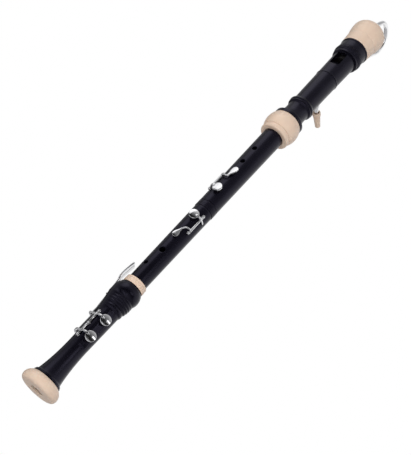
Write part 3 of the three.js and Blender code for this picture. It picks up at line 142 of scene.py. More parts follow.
foot_keys = Sizes(angle=-8, radius=19, post_low=-128, post_middle=-104, post_high=-80, open=11,
                  tail_angle=26, tail_radius=20, tail_overlap=3.6, tail_drop=0.7, flat_width=12,
                  flat_radius=17.4, flat_low=-136.7, flat_high=-68.7, flat_slope=5)

ramp = Sizes(angle=-60, offset=3.8, low_height=-80, low_radius=13, high_height=-39, high_radius=21,
             top=-19.7)

levers = Sizes(angle=-72, flat_radius=17.4, channel_width=18, pivot_height=-45.7, pivot_radius=21.2,
               spacing=3.6, bar_width=4.6, bar_thickness=2.2, knee_height=-72.7, hub_radius=2,
               hub_length=5.4, pin_radius=0.9, touch_middle=-0.7, touch_width=10, touch_gap=0.6,
               tip_height=23, tip_radius=23.6, crest_height=-12.7, crest_radius=25.4, end_overlap=3.2,
               end_radius=18.6, plate_thickness=1.2, plate_length=13, cheek_thickness=1.2,
               cheek_radius=2.3, screw_head_radius=1.5, screw_shank_radius=0.9, screw_offset=4.4)

BACK_ANGLE = -160

thumb_rest = Sizes(height=lower.length * hole_shares.thumb_rest, width=14, length=22, thickness=2.6,
                   ledge=13, ledge_thickness=3, screw_head_radius=2.2, screw_shank_radius=1.2,
                   screw_depth=4)

strap = Sizes(ring_clearance=3.9, base_radius=5.5, base_thickness=1.6, lug_radius=3.4, lug_thickness=2,
              lug_reach=6, stub_radius=1.4, stub_length=3, hole_radius=1.7, ring_radius=7, wire_radius=1.1)

# How far the corners and edges of each piece are rounded
rounding = Sizes(bell=0.6, foot=0.3, flat=2.5, flat_edge=0.5, seat=0.25, channel=1.2, foot_ring=0.5,
                 post=0.25, slot=0.05, rod=0.3, tube=0.25, cup=0.2, arm=0.45, tail=0.4, nub=0.3, pad=0.3,
                 bar=0.5, touch=0.8, bracket=1.5, cheek=0.2, pin=0.25, screw=0.2, body=0.25,
                 rest_screw=0.15, lug=0.4, flange=0.25, head=0.3, head_ring=0.45, block=0.4, cap=0.5,
                 ferrule=0.35, mouthpiece=0.4, hole_lip=0.4)

# Lengths of the steps in which long outlines are divided
spacing = Sizes(foot=1.6, body=2.4, tube=6, lever=0.8)

# Fine shapes that the solids leave out
cup_edge = Sizes(height=0.5, shoulder=1, lift=0.18)
skin = Sizes(middle=0.12, dent=0.1, rise=0.22, margin=0.6, past_hole=0.2, over_seat=0.05, edge=0.8)
driver_slot = Sizes(rod_width=0.35, rod_depth=0.6, rest=0.55)
fine = Sizes(arm_lift=0.2, lever_bend=14, screw_crown=0.3, band_line_width=0.5, band_line_depth=0.22,
             rest_screw_rim=0.4, strap_rim=0.6, bead_line=1, bead_drop=0.7, step_line_width=0.6,
             step_line_depth=0.3)

# Heights of the foot's top face and of the shoulders on which the sections stand

FOOT_TOP = bell.length + FIT + foot.length
LOWER_BASE = FOOT_TOP + FIT
UPPER_BASE = LOWER_BASE + lower.length + FIT
HEAD_BASE = UPPER_BASE + upper.length + FIT
CAP_BASE = HEAD_BASE + head.length + FIT


# Places and lines


def facing(angle, radius, height):
    """The frame of a spot on the body: x runs round it, y runs up and z points out."""
    turn = math.radians(angle)
    out = Vector((math.sin(turn), -math.cos(turn), 0))
    across = Vector((math.cos(turn), math.sin(turn), 0))
    up = Vector((0, 0, 1))
    place = Matrix((across, up, out)).transposed().to_4x4()
    place.translation = out * radius + up * height
    return place


def around(radius, angle, height=0):
    return facing(angle, radius, height).translation


def lerp(start, end, share):
    return start + (end - start) * share


def taper(low, high, height, length):
    return low + (high - low) * height / length


def lower_radius(height):
    return taper(lower.low_radius, lower.high_radius, height, lower.length - lower.band_length)


def upper_radius(height):
    return taper(upper.low_radius, upper.high_radius, height, upper.length)


def foot_radius(height):
    length = foot.stem_height - foot.waist_height
    return taper(foot.waist_radius, foot.stem_radius, height - foot.waist_height, length)


def head_tube_radius(height):
    start = head.neck_height + head.bead_gap + head.bead_length
    return taper(head.neck_radius, head.tube_radius, height - start, head.length - head.rings_depth - start)


class Outline:
    """A line of (radius, height) points that is turned or extruded."""

    def __init__(self, radius, height):
        self.points = [Vector((radius, height))]

    def line(self, radius, height):
        self.points.append(Vector((radius, height)))
        return self

    def curve(self, control_radius, control_height, radius, height, steps=CURVE_STEPS):
        start = self.points[-1]
        control = Vector((control_radius, control_height))
        end = Vector((radius, height))
        for step in range(1, steps + 1):
            share = step / steps
            self.points.append(lerp(lerp(start, control, share), lerp(control, end, share), share))
        return self

    def bulge(self, radius, height, widest_radius, widest_height, steps=CURVE_STEPS):
        start = self.points[-1]
        control_radius = 2 * widest_radius - (start.x + radius) / 2
        control_height = 2 * widest_height - (start.y + height) / 2
        return self.curve(control_radius, control_height, radius, height, steps)

    def ellipse(self, height, radius, rise, start_turn, end_turn, steps=2 * CURVE_STEPS):
        for step in range(steps + 1):
            turn = lerp(start_turn, end_turn, step / steps)
            self.points.append(Vector((radius * math.cos(turn), height + rise * math.sin(turn))))
        return self

    def groove(self, radius, height, width, depth):
        """A fine turned groove in a straight stretch that runs up."""
        self.line(radius, height)
        self.line(radius - depth, height + width / 2)
        return self.line(radius, height + width)


def eased(points, ease, closed=True, steps=3, sharpest=150):
    """The same line with each sharp corner turned into a short arc."""
    result = []
    for index, corner in enumerate(points):
        ends = not closed and index in (0, len(points) - 1)
        before = points[index - 1] - corner
        after = points[(index + 1) % len(points)] - corner
        if ends or before.length == 0 or after.length == 0 or before.angle(after) > math.radians(sharpest):
            result.append(corner)
            continue
        reach = min(ease / math.tan(before.angle(after) / 2), 0.4 * before.length, 0.4 * after.length)
        start = corner + before.normalized() * reach
        end = corner + after.normalized() * reach
        for step in range(steps + 1):
            share = step / steps
            result.append(lerp(lerp(start, corner, share), lerp(corner, end, share), share))
    return result


def spaced(points, longest, closed=True):
    """The same line with points added so that no stretch is longer than longest."""
    result = []
    ends = points[1:] + points[:1] if closed else points[1:] + [None]
    for start, end in zip(points, ends):
        result.append(start)
        if end is None:
            continue
        pieces = math.ceil((end - start).length / longest)
        result.extend(lerp(start, end, piece / pieces) for piece in range(1, pieces))
    return result


def smooth_line(points, steps):
    """Points on a centripetal spline through the given points."""
    points = [Vector(point) for point in points]
    padded = [2 * points[0] - points[1], *points, 2 * points[-1] - points[-2]]
    result = []
    for index in range(1, len(padded) - 2):
        p0, p1, p2, p3 = padded[index - 1:index + 3]
        gap0, gap1, gap2 = ((b - a).length ** 0.5 for a, b in ((p0, p1), (p1, p2), (p2, p3)))
        leave = ((p1 - p0) / gap0 - (p2 - p0) / (gap0 + gap1) + (p2 - p1) / gap1) * gap1
        arrive = ((p2 - p1) / gap1 - (p3 - p1) / (gap1 + gap2) + (p3 - p2) / gap2) * gap1
        for step in range(steps):
            t = step / steps
            result.append(
                (2 * t ** 3 - 3 * t ** 2 + 1) * p1 + (t ** 3 - 2 * t ** 2 + t) * leave
                + (3 * t ** 2 - 2 * t ** 3) * p2 + (t ** 3 - t ** 2) * arrive)
    result.append(points[-1])
    return result


# Meshes


def bridged(mesh, rings, closed=False):
    """Faces between rings of points of the same count; a ring of one point is a pole."""
    pairs = list(zip(rings, rings[1:]))
    if closed:
        pairs.append((rings[-1], rings[0]))
    for low, high in pairs:
        count = max(len(low), len(high))
        for side in range(count):
            turn = (side + 1) % count
            corners = [low[side % len(low)], low[turn % len(low)],
                       high[turn % len(high)], high[side % len(high)]]
            face = list(dict.fromkeys(corners))
            if len(face) > 2:
                mesh.faces.new(face)


def turned(points, sides=SIDES, shaped=None):
    """A closed outline turned about Z; shaped may change the radius of a point at an angle."""
    mesh = bmesh.new()
    rings = []
    for point in points:
        if point.x < FIT / SIDES:
            rings.append([mesh.verts.new((0, 0, point.y))])
            continue
        ring = []
        for side in range(sides):
            turn = 2 * math.pi * side / sides
            radius = shaped(turn, point) if shaped else point.x
            ring.append(mesh.verts.new((radius * math.cos(turn), radius * math.sin(turn), point.y)))
        rings.append(ring)
    pointed = len(rings[0]) == 1 and len(rings[-1]) == 1
    bridged(mesh, rings, closed=rings[0] is not rings[-1] and not pointed)
    bmesh.ops.recalc_face_normals(mesh, faces=mesh.faces)
    return mesh


def capped(mesh, rings):
    """Rings of points bridged and closed at both ends."""
    rings = [[mesh.verts.new(point) for point in ring] for ring in rings]
    bridged(mesh, rings)
    mesh.faces.new(rings[0])
    mesh.faces.new(rings[-1])
    bmesh.ops.recalc_face_normals(mesh, faces=mesh.faces)
    return mesh


def swept(line, section, across=None):
    """A section swept along a line. section(share) gives (u, v) points: v runs along across,
    u is square to it.
    Without a direction across, the section's frame is carried along the line without twist."""
    mesh = bmesh.new()
    rings = []
    side = None
    for index, place in enumerate(line):
        ahead = line[min(index + 1, len(line) - 1)]
        behind = line[max(index - 1, 0)]
        along = (ahead - behind).normalized()
        if across is not None:
            up = (across - along * across.dot(along)).normalized()
        elif side is None:
            up = along.orthogonal().normalized()
        else:
            up = (side - along * side.dot(along)).normalized()
        side = up
        normal = up.cross(along)
        share = index / (len(line) - 1)
        rings.append([place + normal * u + up * v for u, v in section(share)])
    return capped(mesh, rings)


def round_section(radius, sides=SMALL_SIDES, flat=1):
    turns = [2 * math.pi * side / sides for side in range(sides)]
    return [(radius * math.cos(turn) * flat, radius * math.sin(turn)) for turn in turns]


def bar_section(thickness, width, ease):
    """A rectangle with rounded corners, thickness along u and width along v."""
    corners = [Vector((x * thickness / 2, y * width / 2)) for x, y in ((-1, -1), (1, -1), (1, 1), (-1, 1))]
    return [(point.x, point.y) for point in eased(corners, ease)]


def inset(points, distance):
    """The closed outline moved inwards by a small distance."""
    result = []
    area = sum(a.x * b.y - b.x * a.y for a, b in zip(points, points[1:] + points[:1]))
    way = 1 if area > 0 else -1
    for index, point in enumerate(points):
        along = (points[(index + 1) % len(points)] - points[index - 1]).normalized()
        result.append(point + Vector((-along.y, along.x)) * distance * way)
    return result


def extruded(points, width, ease, steps=3):
    """An outline of (out, height) points extruded across, with rounded edges: x across, y height, z out."""
    mesh = bmesh.new()
    rings = []
    for side in (-1, 1):
        order = range(steps + 1) if side < 0 else range(steps, -1, -1)
        for step in order:
            turn = math.pi / 2 * step / steps
            ring = inset(points, ease * (1 - math.sin(turn)))
            place = side * (width / 2 - ease * (1 - math.cos(turn)))
            rings.append([Vector((place, point.y, point.x)) for point in ring])
    return capped(mesh, rings)


def rod(radius, low, high, ease=0.15, sides=SMALL_SIDES):
    outline = [Vector((0, low)), Vector((radius, low)), Vector((radius, high)), Vector((0, high))]
    return turned(eased(outline, ease, closed=False), sides)


def moved(mesh, matrix):
    mesh.transform(matrix)
    return mesh


def shifted(mesh, x=0, y=0, z=0):
    return moved(mesh, Matrix.Translation((x, y, z)))


def rotated(mesh, degrees, axis):
    return moved(mesh, Matrix.Rotation(math.radians(degrees), 4, axis))


def combined(base, tools, operation):
    """base joined with the tools or cut by them, one after another."""
    objects = []
    for mesh in [base, *tools]:
        data = bpy.data.meshes.new("part")
        mesh.to_mesh(data)
        mesh.free()
        obj = bpy.data.objects.new("part", data)
        bpy.context.scene.collection.objects.link(obj)
        objects.append(obj)
    for tool in objects[1:]:
        modifier = objects[0].modifiers.new("tool", "BOOLEAN")
        modifier.operation = operation
        modifier.solver = "EXACT"
        modifier.object = tool
    graph = bpy.context.evaluated_depsgraph_get()
    made = bpy.data.meshes.new_from_object(objects[0].evaluated_get(graph))
    result = bmesh.new()
    result.from_mesh(made)
    bpy.data.meshes.remove(made)
    for obj in objects:
        data = obj.data
        bpy.data.objects.remove(obj)
        bpy.data.meshes.remove(data)
    bmesh.ops.dissolve_degenerate(result, dist=FIT / 1000, edges=result.edges)
    return result


def joined(meshes):
    return combined(meshes[0], meshes[1:], "UNION")


def cut(mesh, tools):
    return combined(mesh, tools, "DIFFERENCE")


def finished(name, mesh, body, nodes, material, crease=32):
    """A mesh in millimetres made a shown piece that stands for CAD nodes and rides on a body."""
    mesh.transform(Matrix.Scale(METRES, 4))
    for face in mesh.faces:
        face.smooth = True
    for edge in mesh.edges:
        edge.smooth = edge.calc_face_angle(0) < math.radians(crease)
    data = bpy.data.meshes.new(name)
    mesh.to_mesh(data)
    mesh.free()
    data.materials.append(material)
    piece = bpy.data.objects.new(name, data)
    bpy.context.scene.collection.objects.link(piece)
    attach(piece, body)
    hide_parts(*nodes)
    return piece


# Materials


class Nodes:
    """A short way to write the node tree of a material or of the world."""

    def __init__(self, owner, coordinates="Object"):
        owner.use_nodes = True
        self.owner = owner
        self.tree = owner.node_tree
        self.shader = self.tree.nodes.get("Principled BSDF")
        self.place = self.tree.nodes.new("ShaderNodeTexCoord").outputs[coordinates]

    def add(self, kind, inputs=None, **settings):
        node = self.tree.nodes.new(kind)
        for key, value in settings.items():
            setattr(node, key, value)
        for key, value in (inputs or {}).items():
            socket = node.inputs[key]
            if isinstance(value, bpy.types.NodeSocket):
                self.tree.links.new(value, socket)
            else:
                socket.default_value = value
        return node

    def stretched(self, x, y, z):
        return self.add("ShaderNodeMapping", {"Vector": self.place, "Scale": (x, y, z)}).outputs["Vector"]

    def noise(self, scale, detail=3, rough=0.5, vector=None):
        inputs = {"Vector": vector or self.place, "Scale": scale, "Detail": detail, "Roughness": rough}
        return self.add("ShaderNodeTexNoise", inputs).outputs["Fac"]

    def ramp(self, value, low, high, low_value, high_value):
        inputs = {"Value": value, "From Min": low, "From Max": high,
                  "To Min": low_value, "To Max": high_value}
        return self.add("ShaderNodeMapRange", inputs).outputs["Result"]

    def mix(self, share, first, second):
        node = self.add("ShaderNodeMix", data_type="RGBA")
        for index, value in ((0, share), (6, first), (7, second)):
            if isinstance(value, bpy.types.NodeSocket):
                self.tree.links.new(value, node.inputs[index])
            else:
                node.inputs[index].default_value = value
        return node.outputs[2]

    def bump(self, height, distance, strength=1.0, normal=None):
        inputs = {"Height": height, "Distance": distance, "Strength": strength}
        if normal:
            inputs["Normal"] = normal
        return self.add("ShaderNodeBump", inputs).outputs["Normal"]

    def link(self, value, socket):
        self.tree.links.new(value, self.shader.inputs[socket])

    def set(self, **values):
        for key, value in values.items():
            self.shader.inputs[key.replace("_", " ")].default_value = value


def black_plastic():
    """Polished moulded plastic: nearly black, with a faint bloom, fine wiping marks and a soft wave."""
    nodes = Nodes(bpy.data.materials.new("black_plastic"))
    cloud = nodes.noise(38, 4)
    nodes.link(nodes.mix(nodes.ramp(cloud, 0.35, 0.7, 0, 1), (0.0016, 0.0014, 0.003, 1),
                         (0.0034, 0.003, 0.0056, 1)), "Base Color")
    smear = nodes.noise(14, 5, 0.6, nodes.stretched(1, 1, 0.3))
    wipe = nodes.noise(900, 2, 0.5, nodes.stretched(1, 1, 0.05))
    base = nodes.ramp(smear, 0.3, 0.75, 0.2, 0.31)
    rough = nodes.add("ShaderNodeMath", {0: base, 1: nodes.ramp(wipe, 0.5, 0.8, 0, 0.06)}, operation="ADD")
    nodes.link(rough.outputs[0], "Roughness")
    wave = nodes.bump(nodes.noise(22, 2), 0.0006, 0.12)
    nodes.link(nodes.bump(nodes.noise(1500, 2), 0.00002, 0.25, wave), "Normal")
    nodes.set(IOR=1.47, Specular_IOR_Level=0.3, Specular_Tint=(0.72, 0.68, 1, 1))
    return nodes.owner


def ivory_plastic():
    """Cream moulded plastic with faint streaks along the grain, and fine turning lines."""
    nodes = Nodes(bpy.data.materials.new("ivory_plastic"))
    streak = nodes.noise(55, 5, 0.6, nodes.stretched(1, 1, 0.12))
    cloud = nodes.noise(26, 3)
    tone = nodes.mix(nodes.ramp(streak, 0.35, 0.68, 0, 1), (0.7, 0.53, 0.41, 1), (0.745, 0.58, 0.455, 1))
    nodes.link(nodes.mix(nodes.ramp(cloud, 0.45, 0.75, 0, 0.5), tone, (0.67, 0.5, 0.38, 1)), "Base Color")
    nodes.link(nodes.ramp(nodes.noise(60, 4), 0.3, 0.7, 0.32, 0.46), "Roughness")
    lines = nodes.noise(2600, 1, 0.5, nodes.stretched(0.02, 0.02, 1))
    soft = nodes.bump(nodes.noise(30, 2), 0.0005, 0.15)
    nodes.link(nodes.bump(lines, 0.00002, 0.25, soft), "Normal")
    nodes.set(IOR=1.49, Subsurface_Weight=0.06, Subsurface_Radius=(0.004, 0.002, 0.0012),
              Subsurface_Scale=1.0)
    return nodes.owner


def plating(name="plating", tint=(0.7, 0.7, 0.715, 1), low=0.06, high=0.16):
    """Bright plated metal with handling haze and hairline scratches."""
    nodes = Nodes(bpy.data.materials.new(name))
    cloud = nodes.noise(120, 4, 0.6)
    dull = (tint[0] * 0.8, tint[1] * 0.79, tint[2] * 0.78, 1)
    nodes.link(nodes.mix(nodes.ramp(cloud, 0.45, 0.8, 0, 1), tint, dull), "Base Color")
    haze = nodes.ramp(nodes.noise(70, 5, 0.65), 0.3, 0.75, low, high)
    hair = nodes.ramp(nodes.noise(1400, 2, 0.5, nodes.stretched(1, 1, 0.04)), 0.55, 0.75, 0, 0.08)
    rough = nodes.add("ShaderNodeMath", {0: haze, 1: hair}, operation="ADD")
    nodes.link(rough.outputs[0], "Roughness")
    nodes.link(nodes.bump(nodes.noise(340, 3), 0.00006, 0.4), "Normal")
    nodes.set(Metallic=1.0)
    return nodes.owner


def spring_steel():
    nodes = Nodes(bpy.data.materials.new("spring_steel"))
    temper = nodes.noise(300, 3)
    nodes.link(nodes.mix(nodes.ramp(temper, 0.35, 0.7, 0, 1), (0.17, 0.2, 0.3, 1), (0.33, 0.32, 0.36, 1)),
               "Base Color")
    nodes.link(nodes.ramp(nodes.noise(900, 3), 0.3, 0.7, 0.24, 0.4), "Roughness")
    nodes.link(nodes.bump(nodes.noise(3000, 1, 0.5, nodes.stretched(1, 1, 0.05)), 0.00001, 0.3), "Normal")
    nodes.set(Metallic=1.0)
    return nodes.owner


def cork():
    nodes = Nodes(bpy.data.materials.new("cork"))
    grain = nodes.noise(700, 5, 0.65)
    cells = nodes.add("ShaderNodeTexVoronoi", {"Vector": nodes.place, "Scale": 900.0}).outputs["Distance"]
    body = nodes.mix(nodes.ramp(grain, 0.35, 0.65, 0, 1), (0.3, 0.17, 0.08, 1), (0.5, 0.32, 0.17, 1))
    nodes.link(nodes.mix(nodes.ramp(nodes.noise(420, 3), 0.62, 0.7, 0, 1), body, (0.09, 0.045, 0.02, 1)),
               "Base Color")
    nodes.link(nodes.ramp(grain, 0.3, 0.7, 0.75, 0.95), "Roughness")
    nodes.link(nodes.bump(cells, 0.00025, 0.5), "Normal")
    return nodes.owner


def block_plastic():
    nodes = Nodes(bpy.data.materials.new("block_plastic"))
    grain = nodes.noise(240, 5, 0.6, nodes.stretched(1, 1, 0.08))
    tone = nodes.ramp(grain, 0.35, 0.65, 0, 1)
    nodes.link(nodes.mix(tone, (0.003, 0.0026, 0.003, 1), (0.006, 0.005, 0.005, 1)),
               "Base Color")
    nodes.link(nodes.ramp(grain, 0.3, 0.7, 0.45, 0.65), "Roughness")
    nodes.link(nodes.bump(grain, 0.0001, 0.4), "Normal")
    return nodes.owner


def pad_skin():
    """The thin skin over a key pad: tan, with fine wrinkles."""
    nodes = Nodes(bpy.data.materials.new("pad_skin"))
    cells = nodes.add("ShaderNodeTexVoronoi", {"Vector": nodes.place, "Scale": 1600.0},
                      feature="DISTANCE_TO_EDGE").outputs["Distance"]
    cloud = nodes.noise(260, 4)
    nodes.link(nodes.mix(nodes.ramp(cloud, 0.35, 0.7, 0, 1), (0.52, 0.36, 0.2, 1), (0.66, 0.49, 0.3, 1)),
               "Base Color")
    nodes.link(nodes.ramp(cloud, 0.3, 0.7, 0.55, 0.75), "Roughness")
    nodes.link(nodes.bump(cells, 0.00008, 0.5), "Normal")
    nodes.set(Sheen_Weight=0.15)
    return nodes.owner


BLACK = black_plastic()
IVORY = ivory_plastic()
PLATING = plating()
PIPE = plating("pipe_plating", (0.86, 0.86, 0.87, 1), 0.12, 0.22)
STEEL = spring_steel()
CORK = cork()
BLOCK = block_plastic()
SKIN = pad_skin()


# Bell ring


def bell_ring():
    recess = bell.spigot_radius + FIT
    outline = Outline(bell.bore_radius, 0)
    outline.line(bell.face_radius, 0)
    outline.curve(bell.radius, 0, bell.radius, bell.widest_height)
    outline.curve(bell.radius, bell.shoulder_height, bell.neck_radius, bell.length)
    outline.line(recess, bell.length)
    outline.line(recess, bell.end_wall)
    outline.line(bell.bore_radius, bell.end_wall)
    mesh = turned(eased(outline.points, rounding.bell))
    finished("bell_ring_shape", mesh, "foot", ["bell_ring"], IVORY)


# Foot, measured from its top face

FOOT_FLANGE = -foot.length
SPIGOT_END = FOOT_FLANGE + bell.end_wall - bell.length
LIP = 2.1
NOTCH_DROP = 3
FILLETS = 4
FILLET_DEPTH = 0.8
SHADOW_GAP = 2


def foot_outline():
    outline = Outline(bell.bore_radius, SPIGOT_END)
    outline.line(bell.spigot_radius, SPIGOT_END)
    outline.line(bell.spigot_radius, FOOT_FLANGE)
    outline.line(foot.flange_radius, FOOT_FLANGE)
    outline.line(foot.flange_radius, FOOT_FLANGE + LIP)
    outline.line(foot.flange_radius - LIP / 2, FOOT_FLANGE + LIP + FIT)
    outline.line(foot.flange_radius - LIP / 2, FOOT_FLANGE + 2 * LIP)
    outline.line(foot.flange_radius - LIP, FOOT_FLANGE + 2 * LIP + FIT)
    outline.curve(foot.flare_radius + FIT, FOOT_FLANGE + foot.flange_length, foot.flare_radius,
                  FOOT_FLANGE + foot.flare_start, 6)
    waist_middle = (FOOT_FLANGE + foot.waist_height) / 2
    outline.curve(foot.waist_radius, waist_middle, foot.waist_radius, foot.waist_height, 3 * CURVE_STEPS)
    outline.line(foot.stem_radius, foot.stem_height)
    notch = foot.low_bead_top - NOTCH_DROP
    outline.bulge(foot.low_bead_top_radius, notch, foot.low_bead_radius, (foot.stem_height + notch) / 2, 8)
    step = (foot.high_bead_top - notch) / FILLETS
    for fillet in range(FILLETS):
        top = notch + step * (fillet + 1)
        share = (fillet + 1) / FILLETS
        crest = lerp(foot.low_bead_radius, foot.high_bead_radius, math.sin(math.pi * share * 0.6))
        last = fillet == FILLETS - 1
        fall = foot.high_bead_top_radius if last else crest - FILLET_DEPTH
        outline.bulge(fall, top, crest, top - step / 2, 6)
    bulge_middle = (foot.high_bead_top + foot.bulge_top) / 2
    outline.bulge(foot.bulge_top_radius, foot.bulge_top, foot.bulge_radius, bulge_middle, 2 * CURVE_STEPS)
    outline.line(foot.rim_radius, foot.bulge_top)
    outline.line(foot.rim_radius, -FIT)
    outline.line(foot.socket_radius, -FIT)
    outline.line(foot.socket_radius, -FIT - foot.socket_depth)
    outline.line(foot.bore_radius, -FIT - foot.socket_depth)
    return spaced(eased(outline.points, rounding.foot), spacing.foot)


RAMP_CREST_LENGTH = 10
RAMP_BLEND = 0.9


def ramp_radius(turn, height):
    """How far from the bore's axis the ramp's surface lies; it is a cone about an axis of its own."""
    share = (height - ramp.low_height) / (ramp.high_height - ramp.low_height)
    own = lerp(ramp.low_radius, ramp.high_radius, min(share, 1))
    crest = (height - (ramp.top + OVERRUN - RAMP_CREST_LENGTH)) / RAMP_CREST_LENGTH
    if crest > 0:
        own -= (ramp.offset + FIT) * (1 - math.sqrt(max(1 - crest ** 2, 0)))
    aside = turn + math.pi / 2 - math.radians(ramp.angle)
    return ramp.offset * math.cos(aside) + math.sqrt(max(own ** 2 - (ramp.offset * math.sin(aside)) ** 2, 0))


def foot_surface(turn, point):
    """The foot's rings with the ramp blended over them."""
    outside = point.x > foot.socket_radius + FIT and ramp.low_height < point.y < foot.bulge_top + FIT
    if not outside or point.x <= foot.rim_radius and point.y > foot.stem_height + OVERRUN:
        return point.x
    other = ramp_radius(turn, point.y)
    overlap = max(RAMP_BLEND - abs(point.x - other), 0) / RAMP_BLEND
    return max(point.x, other) + overlap ** 2 * RAMP_BLEND / 4


def pad_flat():
    under = foot_keys.flat_radius - OVERRUN
    outline = Outline(under, foot_keys.flat_low - foot_keys.flat_slope)
    outline.line(foot_keys.flat_radius, foot_keys.flat_low)
    outline.line(foot_keys.flat_radius, foot_keys.flat_high)
    outline.line(under, foot_keys.flat_high + foot_keys.flat_slope)
    points = eased(outline.points, rounding.flat)
    return moved(extruded(points, foot_keys.flat_width, rounding.flat_edge), facing(low_hole.angle, 0, 0))


def seat_ring(hole, surface):
    disc = turned(eased([Vector((0, surface - OVERRUN)), Vector((seat.radius, surface - OVERRUN)),
                         Vector((seat.radius, surface + seat.rise)), Vector((0, surface + seat.rise))],
                        rounding.seat, closed=False), SMALL_SIDES + 24)
    return moved(disc, facing(hole.angle, 0, hole.height))


def hole_cutter(hole, surface, flat=False, lip=0.8):
    """Cuts a hole whose lip is rounded along the body's surface, or along a flat seat's."""
    mesh = bmesh.new()
    steps = ((0, -1), (0.1, -0.55), (0.32, -0.22), (0.65, -0.04), (1.1, 0.06))
    rings = [[Vector((x, y, 0)) for x, y in round_section(hole.radius, SMALL_SIDES + 8)]]
    for grow, rise in steps:
        ring = []
        for x, y in round_section(hole.radius + grow * lip, SMALL_SIDES + 8):
            skin = surface if flat else math.sqrt(surface ** 2 - x ** 2)
            ring.append(Vector((x, y, skin + rise * lip)))
        rings.append(ring)
    rings.append([Vector((x, y, surface + OVERRUN)) for x, y in round_section(hole.radius + 2 * lip,
                                                                            SMALL_SIDES + 8)])
    return moved(capped(mesh, rings), facing(hole.angle, 0, hole.height))


def stub_hole(radius, angle, height, low, high):
    return moved(rod(radius, low, high, 0), facing(angle, 0, height))


def post_hole(key, height, surface):
    return stub_hole(post.stub_radius + FIT, key.angle, height, surface - post.stub_length, surface + OVERRUN)


def lever_channel():
    """The channel across the rings that the two levers lie in, with rounded side walls."""
    depth = foot.bulge_radius
    low, high = ramp.low_height - OVERRUN, foot.bulge_top + FIT
    half = levers.channel_width / 2
    corners = [Vector((-half, levers.flat_radius)), Vector((half, levers.flat_radius)),
               Vector((half + FIT, levers.flat_radius + depth)),
               Vector((-half - FIT, levers.flat_radius + depth))]
    section = eased(corners, rounding.channel)
    rings = [[Vector((point.x, height, point.y)) for point in section] for height in (low, high)]
    return moved(capped(bmesh.new(), rings), facing(levers.angle, 0, 0))


LEVER_SCREWS = (("lever_bracket_screw_low", -levers.spacing, levers.pivot_height - levers.screw_offset),
                ("lever_bracket_screw_high", levers.spacing, levers.pivot_height + levers.screw_offset))


def lever_rod(radius, across, height, low, high):
    return moved(shifted(rod(radius, low, high), across, height), facing(levers.angle, 0, 0))


def foot_joint():
    surface = foot_keys.flat_radius
    body = turned(foot_outline(), shaped=foot_surface)
    body = joined([body, pad_flat(), seat_ring(low_hole, surface), seat_ring(high_hole, surface)])
    screws = [lever_rod(levers.screw_shank_radius + FIT, across, height, foot.socket_radius,
                        levers.flat_radius + OVERRUN) for _, across, height in LEVER_SCREWS]
    heights = (foot_keys.post_low, foot_keys.post_middle, foot_keys.post_high)
    body = cut(body, [
        lever_channel(),
        *screws,
        *(post_hole(foot_keys, height, foot_radius(height)) for height in heights),
        hole_cutter(low_hole, surface + seat.rise, flat=True, lip=rounding.hole_lip),
        hole_cutter(high_hole, surface + seat.rise, flat=True, lip=rounding.hole_lip),
    ])
    finished("foot_joint_shape", shifted(body, z=FOOT_TOP), "foot", ["foot_joint"], BLACK)


def foot_socket_ring():
    inner = foot.rim_radius + FIT
    low = foot.bulge_top + FIT + SHADOW_GAP
    edge = foot.ring_radius - FIT
    outline = Outline(inner, low).line(edge, low)
    outline.bulge(edge, low / 3, foot.ring_radius + FIT / 2, 0.66 * low, 10)
    outline.line(edge - FIT, low / 3 + FIT).line(edge, low / 3 + 2 * FIT)
    outline.line(edge, 0)
    outline.line(inner, 0)
    mesh = shifted(turned(eased(outline.points, rounding.foot_ring)), z=FOOT_TOP)
    finished("foot_socket_ring_shape", mesh, "foot", ["foot_socket_ring"], IVORY)


# Keywork


def key_post(name, key, height, surface, body, base):
    """A ball post on a collar, bored for the hinge rod."""
    floor = surface + FIT
    ball = key.radius
    collar = post.base_radius
    outline = Outline(0, floor - post.stub_length).line(post.stub_radius, floor - post.stub_length)
    outline.line(post.stub_radius, floor).line(collar, floor)
    outline.line(collar, floor + post.base_height / 2)
    collar_top = floor + post.base_height
    meet = max(-math.acos(0.62), math.asin((collar_top - ball) / post.ball_radius))
    outline.curve(post.ball_radius * 0.62, collar_top, post.ball_radius * math.cos(meet),
                  ball + post.ball_radius * math.sin(meet), 6)
    for step in range(1, 13):
        turn = lerp(meet, math.pi / 2, step / 12)
        out = post.ball_radius * math.cos(turn) if step < 12 else 0
        outline.line(out, ball + post.ball_radius * math.sin(turn))
    shape = turned(eased(outline.points, rounding.post, closed=False), SMALL_SIDES)
    reach = post.ball_radius + OVERRUN
    bore = shifted(rotated(rod(hinge.rod_radius + FIT / 2, -reach, reach), 90, "X"), z=ball)
    mesh = moved(cut(shape, [bore]), facing(key.angle, 0, base + height))
    finished(name + "_shape", mesh, body, [name], PLATING)


def slotted(mesh, radius, top, width=0.45, depth=0.5):
    """Cuts a screwdriver slot across the top of a round head."""
    slot = extruded([Vector((top - depth, -radius - 1)), Vector((top + 1, -radius - 1)),
                     Vector((top + 1, radius + 1)), Vector((top - depth, radius + 1))],
                    width, rounding.slot, 1)
    return cut(mesh, [slot])


def hinge_rod(name, key, low, high, body, base):
    length = high - low + 2 * hinge.rod_overhang
    mesh = slotted(rod(hinge.rod_radius, 0, length, rounding.rod), hinge.rod_radius, length,
                   driver_slot.rod_width, driver_slot.rod_depth)
    mesh = moved(mesh, Matrix.Translation(around(key.radius, key.angle, base + low - hinge.rod_overhang)))
    finished(name + "_shape", mesh, body, [name], PLATING)


